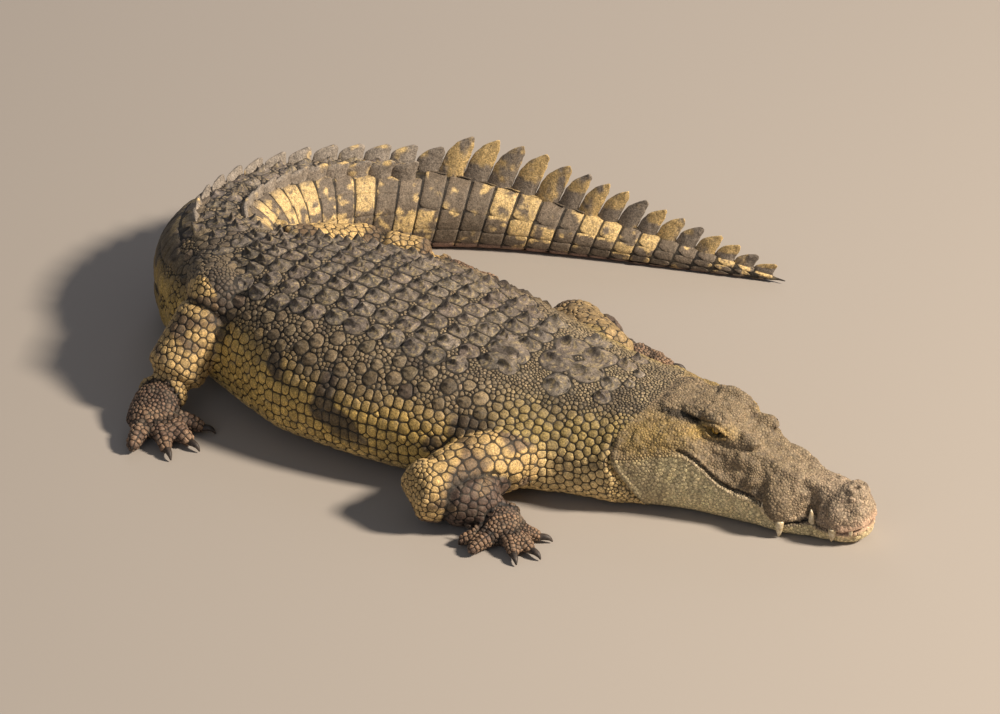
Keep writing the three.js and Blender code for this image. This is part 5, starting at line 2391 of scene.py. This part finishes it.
    def write(self, name: str, chosen: Array, material: bpy.types.Material) -> None:
        """Writes one joined piece of the coat.

        Args:
            name: the piece's name.
            chosen: indices of its scales.
            material: its material.
        """
        verts, loops, totals, tints, maps = [], [], [], [], []
        offset = 0
        where = self.unwrap(self.places.keep(chosen))
        for kind in Scale:
            mine = self.seeds.kind[chosen] == kind.value
            if not mine.any():
                continue
            points, faces, colours, flat = self.stamp(kind, chosen[mine])
            count, per = points.shape[:2]
            verts.append(points.reshape(-1, 3))
            tints.append(colours.reshape(-1, 3))
            maps.append((where[mine][:, None] + flat[None] * self.patch).reshape(-1, 2))
            loops.append((faces[faces >= 0][None] + (np.arange(count) * per)[:, None] + offset).ravel())
            totals.append(np.tile((faces >= 0).sum(axis=1), count))
            offset += count * per
        points, corner, total = np.concatenate(verts), np.concatenate(loops), np.concatenate(totals)
        points[:, 2] = np.maximum(points[:, 2], self.floor_gap)
        mesh = bpy.data.meshes.new(name)
        mesh.vertices.add(len(points))
        mesh.vertices.foreach_set("co", points.astype(np.float32).ravel())
        mesh.loops.add(len(corner))
        mesh.loops.foreach_set("vertex_index", corner.astype(np.int32))
        mesh.polygons.add(len(total))
        mesh.polygons.foreach_set("loop_start", np.concatenate([[0], np.cumsum(total)[:-1]]).astype(np.int32))
        mesh.polygons.foreach_set("loop_total", total.astype(np.int32))
        mesh.update(calc_edges=True)
        lay_out(mesh, np.concatenate(maps))
        paint(mesh, np.concatenate(tints))
        piece = bpy.data.objects.new(name, mesh)
        bpy.context.scene.collection.objects.link(piece)
        dress(piece, material)

    def build(self, material: bpy.types.Material) -> None:
        """Plans the scales and writes them in pieces by part of the animal.

        Args:
            material: the scales' material.
        """
        self.plan()
        seeds = self.seeds
        self.neighbours = point_tree(seeds.points)
        self.places = Places.of(seeds.points)
        on_head = self.places.on(Region.HEAD)[:, None]
        oval = seeds.of(Scale.OVAL)[:, None]
        rng = np.random.default_rng(SEED + 11)
        uneven = np.where(on_head, 0.13, np.where(seeds.of(Scale.GRANULE)[:, None] | oval, 0.25, 0.15))
        own = rng.normal(np.where(oval, 0.88, 1.0), uneven)
        own = own * (1 + rng.normal(0, 0.012, (len(seeds.points), 3)))
        hide = MARKINGS.colours(self.places)
        dust = 0.7 + 0.6 * self.pit_noise.layered(self.places.raw / 60.0)[:, None]
        keeled = seeds.of(Scale.KEELED)[:, None] * 0.8
        self.tints = (hide + (MARKINGS.scute * dust - hide) * keeled) * np.clip(own, 0.45, 1.6)
        left = self.places.aside >= 0
        parts = {
            "scales_head": self.places.on(Region.HEAD),
            "scales_neck": self.places.on(Region.NECK),
            "scales_trunk_left": self.places.on(Region.TRUNK) & left,
            "scales_trunk_right": self.places.on(Region.TRUNK) & ~left,
            "scales_tail": self.places.on(Region.TAIL),
        }
        parts |= {f"scales_{leg.name}": self.places.limb == index for index, leg in enumerate(LEGS)}
        cost = np.array([RELIEFS[kind].faces() for kind in Scale])
        for name, mask in parts.items():
            chosen = np.flatnonzero(mask)
            chosen = chosen[np.argsort(self.places.along[chosen], kind="stable")]
            faces = np.cumsum(cost[seeds.kind[chosen]])
            pieces = int(faces[-1] // self.most_faces) + 1
            bounds = np.searchsorted(faces, np.linspace(0, faces[-1], pieces + 1)[1:-1])
            for number, group in enumerate(np.split(chosen, bounds)):
                self.write(name if pieces == 1 else f"{name}_{number + 1}", group, material)


# ---------- crest, eyes, teeth, claws ----------
@dataclass
class Crest:
    """The upright scutes of the tail."""

    thickness: float = 17.0
    fill: float = 1.07
    spread: float = 0.36
    stretch: float = 1.12
    sink: float = 26.0
    tilt: float = 0.2
    colour_noise: Noise = noise_field(SEED + 14)

    def blade(self, along: float, side: int, length: float) -> bmesh.types.BMesh:
        """Shapes one scute from a ball: flattened, leaning back, with a blunt tip and rough walls.

        Args:
            along: its place on the tail.
            side: 1 for left, -1 for right, 0 for the middle.
            length: its length along the tail.

        Returns:
            The scute.
        """
        top, half_width = float(SHAPE.top(along)), float(SHAPE.half_width(along))
        sink = min(self.sink, top * 0.4)
        work = bmesh.new()
        bmesh.ops.create_uvsphere(work, u_segments=28, v_segments=24, radius=1.0)
        rng = np.random.default_rng(int(along) + 7 * side)
        pair = np.interp(along, [2050, 2450, 2880], [0.5, 0.75, 1.0]) if side else 1
        tall = float(SHAPE.crest(along)) * self.stretch * rng.uniform(0.94, 1.0) * pair
        points = np.array([v.co for v in work.verts])
        rise = (points[:, 2] + 1) / 2
        outline = np.maximum(np.sqrt(np.clip(1 - (2 * rise - 1) ** 2, 0, 1)), 0.05)
        fore_aft, wall = points[:, 0] / outline, points[:, 1] / outline
        level = rise ** 0.9
        z = -sink + (tall + sink) * level
        up = np.clip(z / max(tall, 1), 0, 1)
        lean = float(whorl_lean(along)) * 1.35 * tall * up
        front = length * (0.5 - np.interp(up, [0, 0.5, 0.7, 0.84, 0.93, 1], [0, 0.02, 0.13, 0.3, 0.5, 0.72]))
        rear = length * (np.interp(up, [0, 0.7, 0.9, 1], [0, 0.01, 0.06, 0.18]) - 0.5)
        jag = 1.6 * np.sin(z * 0.21 + along) * up
        x = (front + rear) / 2 + fore_aft * (front - rear) / 2 - lean + jag
        thick = min(self.thickness * (1.6 if side else 1), half_width * 0.6)
        y = wall * thick * 0.5 * np.interp(level, [0, 0.3, 0.8, 1], [1.15, 1.0, 0.55, 0.25])
        y = y * (1 - 0.45 * np.abs(fore_aft) ** 2.5)
        rough = self.colour_noise.layered(np.stack([x / 9.0, y / 9.0 + along, z / 14.0], axis=-1)) - 0.5
        y = y + rough * 4.0 * np.sign(wall) * np.abs(wall) ** 0.5
        turn, tilt = math.radians(float(SHAPE.heading(along))), side * self.tilt
        y, z = y * math.cos(tilt) + z * math.sin(tilt), z * math.cos(tilt) - y * math.sin(tilt)
        foot = SHAPE.spot(along, side * half_width * self.spread, top - (top * 0.05 if side else 4.0))
        turned = [x * math.cos(turn) - y * math.sin(turn), x * math.sin(turn) + y * math.cos(turn), z]
        raw = foot + np.stack(turned, axis=-1)
        for vert, point in zip(work.verts, frame_point(raw)):
            vert.co = point
        face_outward(work)
        return work

    def build(self, material: bpy.types.Material) -> None:
        """Builds all the scutes as one piece.

        Args:
            material: their material.
        """
        whole = bmesh.new()
        tints, maps = [], []
        for along, step in crest_rows():
            if not CREST_FIRST < along < CREST_LAST:
                continue
            for side in ((1, -1) if along < CREST_MEET else (0,)):
                points = join_part(whole, self.blade(along, side, step * self.fill))
                tints.append(self.tint(points, along, side))
                local = points - points.mean(axis=0)
                patch = local[:, [0, 2]] / np.abs(local).max() * 0.0015
                maps.append(np.array([along / BODY_LENGTH, 0.5 + 0.2 * side]) + patch)
        piece = new_mesh(whole, "crest")
        lay_out(piece.data, np.concatenate(maps))
        paint(piece.data, np.concatenate(tints))
        dress(piece, material)

    def tint(self, points: Array, along: float, side: int) -> Array:
        """Returns the colours of one scute, pale or slate, more often slate at its foot, and streaked.

        Args:
            points: its vertices, in metres in the frame.
            along: its place on the tail.
            side: 1 for left, -1 for right, 0 for the middle.

        Returns:
            Linear colours.
        """
        number = int(MARKINGS.ring_number(np.array([along]))[0])
        raw = raw_point(points)
        low = (raw[:, 2] - float(SHAPE.top(along))) / max(float(SHAPE.crest(along)), 1)
        foot = (1 - smooth(0.15, 0.55, low)) * (0.5 if number % 2 else 0.1)
        cloud = Noise(SEED + 16).layered(raw / np.array([26.0, 26.0, 34.0]), 3)
        patch = smooth(0.42, 0.62, cloud + foot + (0.12 if side or number % 3 == 0 else -0.12))
        colour = mix(MARKINGS.tail_side, MARKINGS.slate, 0.85 * patch)
        streak = Noise(SEED + 15)(raw / np.array([5.0, 5.0, 22.0]))
        return colour * (0.75 + 0.5 * streak)[:, None]


@dataclass
class Eyes:
    """Two eyeballs, set into the sockets under nearly closed lids."""

    iris: float = 0.5
    iris_edge: float = 0.58
    pupil: float = 0.06
    pupil_edge: float = 0.1
    ball: Array = tone("241b12")
    iris_tone: Array = tone("b08a3a")

    def tint(self, outward: Array) -> Array:
        """Returns the colours of a ball: a dark ball, a yellow iris and an upright slit pupil.

        Args:
            outward: directions from the ball's middle.

        Returns:
            Linear colours.
        """
        across = np.abs(outward[:, 0])
        pupil = 1 - smooth(self.pupil, self.pupil_edge, across + 0.12 * outward[:, 2] ** 2)
        iris = 1 - smooth(self.iris, self.iris_edge, np.hypot(across, outward[:, 2]))
        return mix(self.ball, self.iris_tone, iris) * (1 - 0.95 * (pupil * iris)[:, None])

    def build(self, material: bpy.types.Material) -> None:
        """Builds both eyes over their CAD nodes.

        Args:
            material: their material.
        """
        for name, side in (("left", 1), ("right", -1)):
            work = bmesh.new()
            bmesh.ops.create_uvsphere(work, u_segments=40, v_segments=24, radius=EYE["radius"] * MM)
            centre = frame_point(SHAPE.spot(EYE["along"], side * EYE["aside"], EYE["height"]))
            bmesh.ops.rotate(work, verts=work.verts, matrix=Matrix.Rotation(math.radians(-90 * side), 3, "X"))
            bmesh.ops.translate(work, verts=work.verts, vec=Vector(centre))
            piece = new_mesh(work, f"eyeball_{name}")
            paint(piece.data, self.tint(unit(coordinates(piece.data) - centre)))
            dress(piece, material)
            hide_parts(f"eye_{name}")


@dataclass(frozen=True)
class Tooth:
    """One tooth: its place, its length, down if negative, its foot's radius and how far it leans out."""

    along: float
    length: float
    radius: float
    out: float = 0.0


@dataclass
class Teeth:
    """The teeth that show with the jaws shut."""

    upper_first: float = 30.0
    upper_step: float = 52.0
    upper_count: int = 8
    upper_length: float = 15.0
    upper_radius: float = 6.5
    root: float = 10.0
    tip_share: float = 0.16
    hook: float = 2.2
    long_upper: tuple[Tooth, ...] = (Tooth(75.0, -30.0, 11.5, 12.0), Tooth(210.0, -39.0, 11.5, 12.0))
    lower: tuple[tuple[float, float], ...] = ((12.0, 14.0), (136.0, 34.0), (260.0, 17.0))

    def shape(self, tooth: Tooth, side: int) -> bmesh.types.BMesh:
        """Shapes one conical tooth, slightly curved, with a rounded tip.

        Args:
            tooth: the tooth.
            side: 1 for left, -1 for right.

        Returns:
            The tooth, in metres in the frame.
        """
        work = bmesh.new()
        whole = abs(tooth.length) + self.root
        bmesh.ops.create_cone(work, cap_ends=True, segments=14, radius1=tooth.radius,
                              radius2=tooth.radius * self.tip_share, depth=whole)
        edges = [e for e in work.edges if abs(e.verts[0].co.z - e.verts[1].co.z) > 1]
        bmesh.ops.subdivide_edges(work, edges=edges, cuts=5)
        for vert in work.verts:
            share = vert.co.z / whole + 0.5
            swell = (0.12 + 0.88 * (1 - share ** 2.4)) / (1 - (1 - self.tip_share) * share)
            vert.co.x = vert.co.x * swell - self.hook * share * share
            vert.co.y *= swell * 0.86
        if tooth.length < 0:
            bmesh.ops.scale(work, verts=work.verts, vec=(1, 1, -1))
        width = SHAPE.skull_width if tooth.length < 0 else SHAPE.jaw_width
        aside = float(width(tooth.along)) - tooth.radius - 1 + tooth.out
        centre = math.copysign((abs(tooth.length) - self.root) / 2, tooth.length)
        centre = float(SHAPE.mouth(tooth.along)) + centre
        bmesh.ops.translate(work, verts=work.verts, vec=Vector(SHAPE.spot(tooth.along, side * aside, centre)))
        for vert in work.verts:
            vert.co = frame_point(np.array(vert.co))
        face_outward(work)
        return work

    def row(self) -> Iterable[Tooth]:
        """Yields the teeth of one side. A long one takes the place of the even one near it."""
        for number in range(self.upper_count):
            along = self.upper_first + number * self.upper_step
            near = [tooth for tooth in self.long_upper if abs(tooth.along - along) < self.upper_step / 2]
            yield near[0] if near else Tooth(along, -self.upper_length, self.upper_radius)
        for along, length in self.lower:
            yield Tooth(along, length, 4 + length / 7)

    def build(self, material: bpy.types.Material) -> None:
        """Builds all the teeth as one piece.

        Args:
            material: their material.
        """
        whole = bmesh.new()
        for tooth in self.row():
            for side in (1, -1):
                join_part(whole, self.shape(tooth, side))
        dress(new_mesh(whole, "teeth"), material)


@dataclass
class Claws:
    """The dark claws on the first three toes of each foot."""

    root: float = 10.0
    end_radius: float = 2.0

    def build(self, material: bpy.types.Material) -> None:
        """Builds one claw for each claw node.

        Args:
            material: their material.
        """
        for leg in LEGS:
            height = TOE_RADII[leg.front][2]
            for number, tip in enumerate(leg.toes[:CLAWED_TOES]):
                ahead = unit(np.array(tip, float) - np.array(leg.foot[:2], float))
                steps = ((-self.root, height), (CLAW_LENGTH * 0.5, height + 2), (CLAW_LENGTH, 5))
                points = [(tip[0] + ahead[0] * far, tip[1] + ahead[1] * far, high) for far, high in steps]
                work = tube(points, [CLAW_RADIUS, CLAW_RADIUS * 0.8, self.end_radius], 12, 14, cap=0.9)
                name = f"claw_{leg.name}_{number + 1}"
                piece = new_mesh(work, f"horn_{leg.name}_{number + 1}")
                dress(piece, material)
                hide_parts(name)


# ---------- studio ----------
@dataclass(frozen=True)
class Lamp:
    """One soft lamp: its place in metres, power in watts, size in metres and colour."""

    name: str
    place: tuple[float, float, float]
    watts: float
    size: float
    colour: str

    def build(self) -> None:
        """Adds the lamp, facing the animal."""
        data = bpy.data.lights.new(self.name, "AREA")
        data.energy = self.watts
        data.size = self.size
        data.color = linear(self.colour)[:3]
        lamp = bpy.data.objects.new(self.name, data)
        lamp.location = self.place
        lamp.rotation_euler = (Vector(self.place) - Vector((0, 0, 0.2))).to_track_quat("Z", "Y").to_euler()
        bpy.context.scene.collection.objects.link(lamp)


@dataclass
class Studio:
    """Floor, lights and camera."""

    target: tuple[float, float, float] = (-0.1522, 0.0939, 0.0)
    azimuth: float = 30.0
    elevation: float = 30.0
    distance: float = 17.2
    lens: float = 230.4
    sensor: float = 36.0
    sight: float = 200.0
    floor_size: float = 15.0
    sky: str = "dfe3ea"
    sky_strength: float = 0.2
    lamps: tuple[Lamp, ...] = (
        Lamp("key", (11.0, 2.4, 9.3), 4300.0, 2.0, "fff1de"),
        Lamp("fill", (0.5, -6.5, 3.4), 50.0, 4.0, "eef2ff"),
        Lamp("rim", (-3.0, 4.0, 3.5), 40.0, 3.0, "f4f2ff"),
    )

    def floor(self) -> None:
        """Builds the plain floor."""
        work = bmesh.new()
        bmesh.ops.create_grid(work, x_segments=1, y_segments=1, size=self.floor_size)
        floor = new_mesh(work, "floor")
        # Uncoated paper is matt and even, so the eye sees only the animal's soft shadow on it.
        material = bpy.data.materials.new("pale_matt_paper")
        material.use_nodes = True
        shader = material.node_tree.nodes["Principled BSDF"]
        shader.inputs["Base Color"].default_value = linear("a29a92")
        shader.inputs["Roughness"].default_value = 0.9
        floor.data.materials.append(material)

    def camera(self) -> None:
        """Sets up the camera."""
        turn, rise = math.radians(self.azimuth), math.radians(self.elevation)
        back = Vector((math.sin(turn) * math.cos(rise), -math.cos(turn) * math.cos(rise), math.sin(rise)))
        data = bpy.data.cameras.new("camera")
        data.lens = self.lens
        data.sensor_width = self.sensor
        data.clip_end = self.sight
        camera = bpy.data.objects.new("camera", data)
        camera.location = Vector(self.target) + back * self.distance
        camera.rotation_euler = back.to_track_quat("Z", "Y").to_euler()
        bpy.context.scene.collection.objects.link(camera)
        bpy.context.scene.camera = camera

    def build(self) -> None:
        """Builds the floor, the camera and the lights."""
        self.floor()
        self.camera()
        for lamp in self.lamps:
            lamp.build()
        world = bpy.data.worlds.new("studio")
        world.use_nodes = True
        world.node_tree.nodes["Background"].inputs["Color"].default_value = linear(self.sky)
        world.node_tree.nodes["Background"].inputs["Strength"].default_value = self.sky_strength
        bpy.context.scene.world = world
        bpy.context.scene.view_settings.view_transform = "Standard"


def main() -> None:
    """Builds the animal and its studio, in order. Each piece is reported as it gets its material."""
    logging.basicConfig(level=logging.INFO, format="%(name)s: %(message)s")
    Studio().build()
    # Dry keratin is matt: the eye sees broad soft lights on the scales, dust on their crowns and no glint.
    scales = HideFinish("dry_keratin_scales").build()
    # The creased hide between the scales is rougher, and its colours carry painted shade, so it reads as dark
    # seams.
    creased = HideFinish("creased_hide_between_scales", roughness=0.7, bump=0.5).build()
    # A wet cornea is smooth: one small sharp glint over a dark ball.
    cornea = EyeFinish("moist_eye").build()
    # Tooth ivory is dense and smooth: a low sheen, yellow where it is stained.
    ivory = HornFinish("stained_tooth_ivory", "e8dcc0", "a88f62", 0.35).build()
    # Claw horn is scuffed by the ground: nearly matt, with dark streaks along its length.
    horn = HornFinish("worn_claw_horn", "4c4038", "1d1815", 0.62, 3.0).build()
    skin = Skin()
    skin.build()
    dress(skin.piece, creased)
    flesh = [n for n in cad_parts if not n.startswith(("eye_", "claw_"))]
    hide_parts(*flesh)
    Coat(skin).build(scales)
    Crest().build(scales)
    Eyes().build(cornea)
    Teeth().build(ivory)
    Claws().build(horn)


if __name__ == "__main__":
    main()
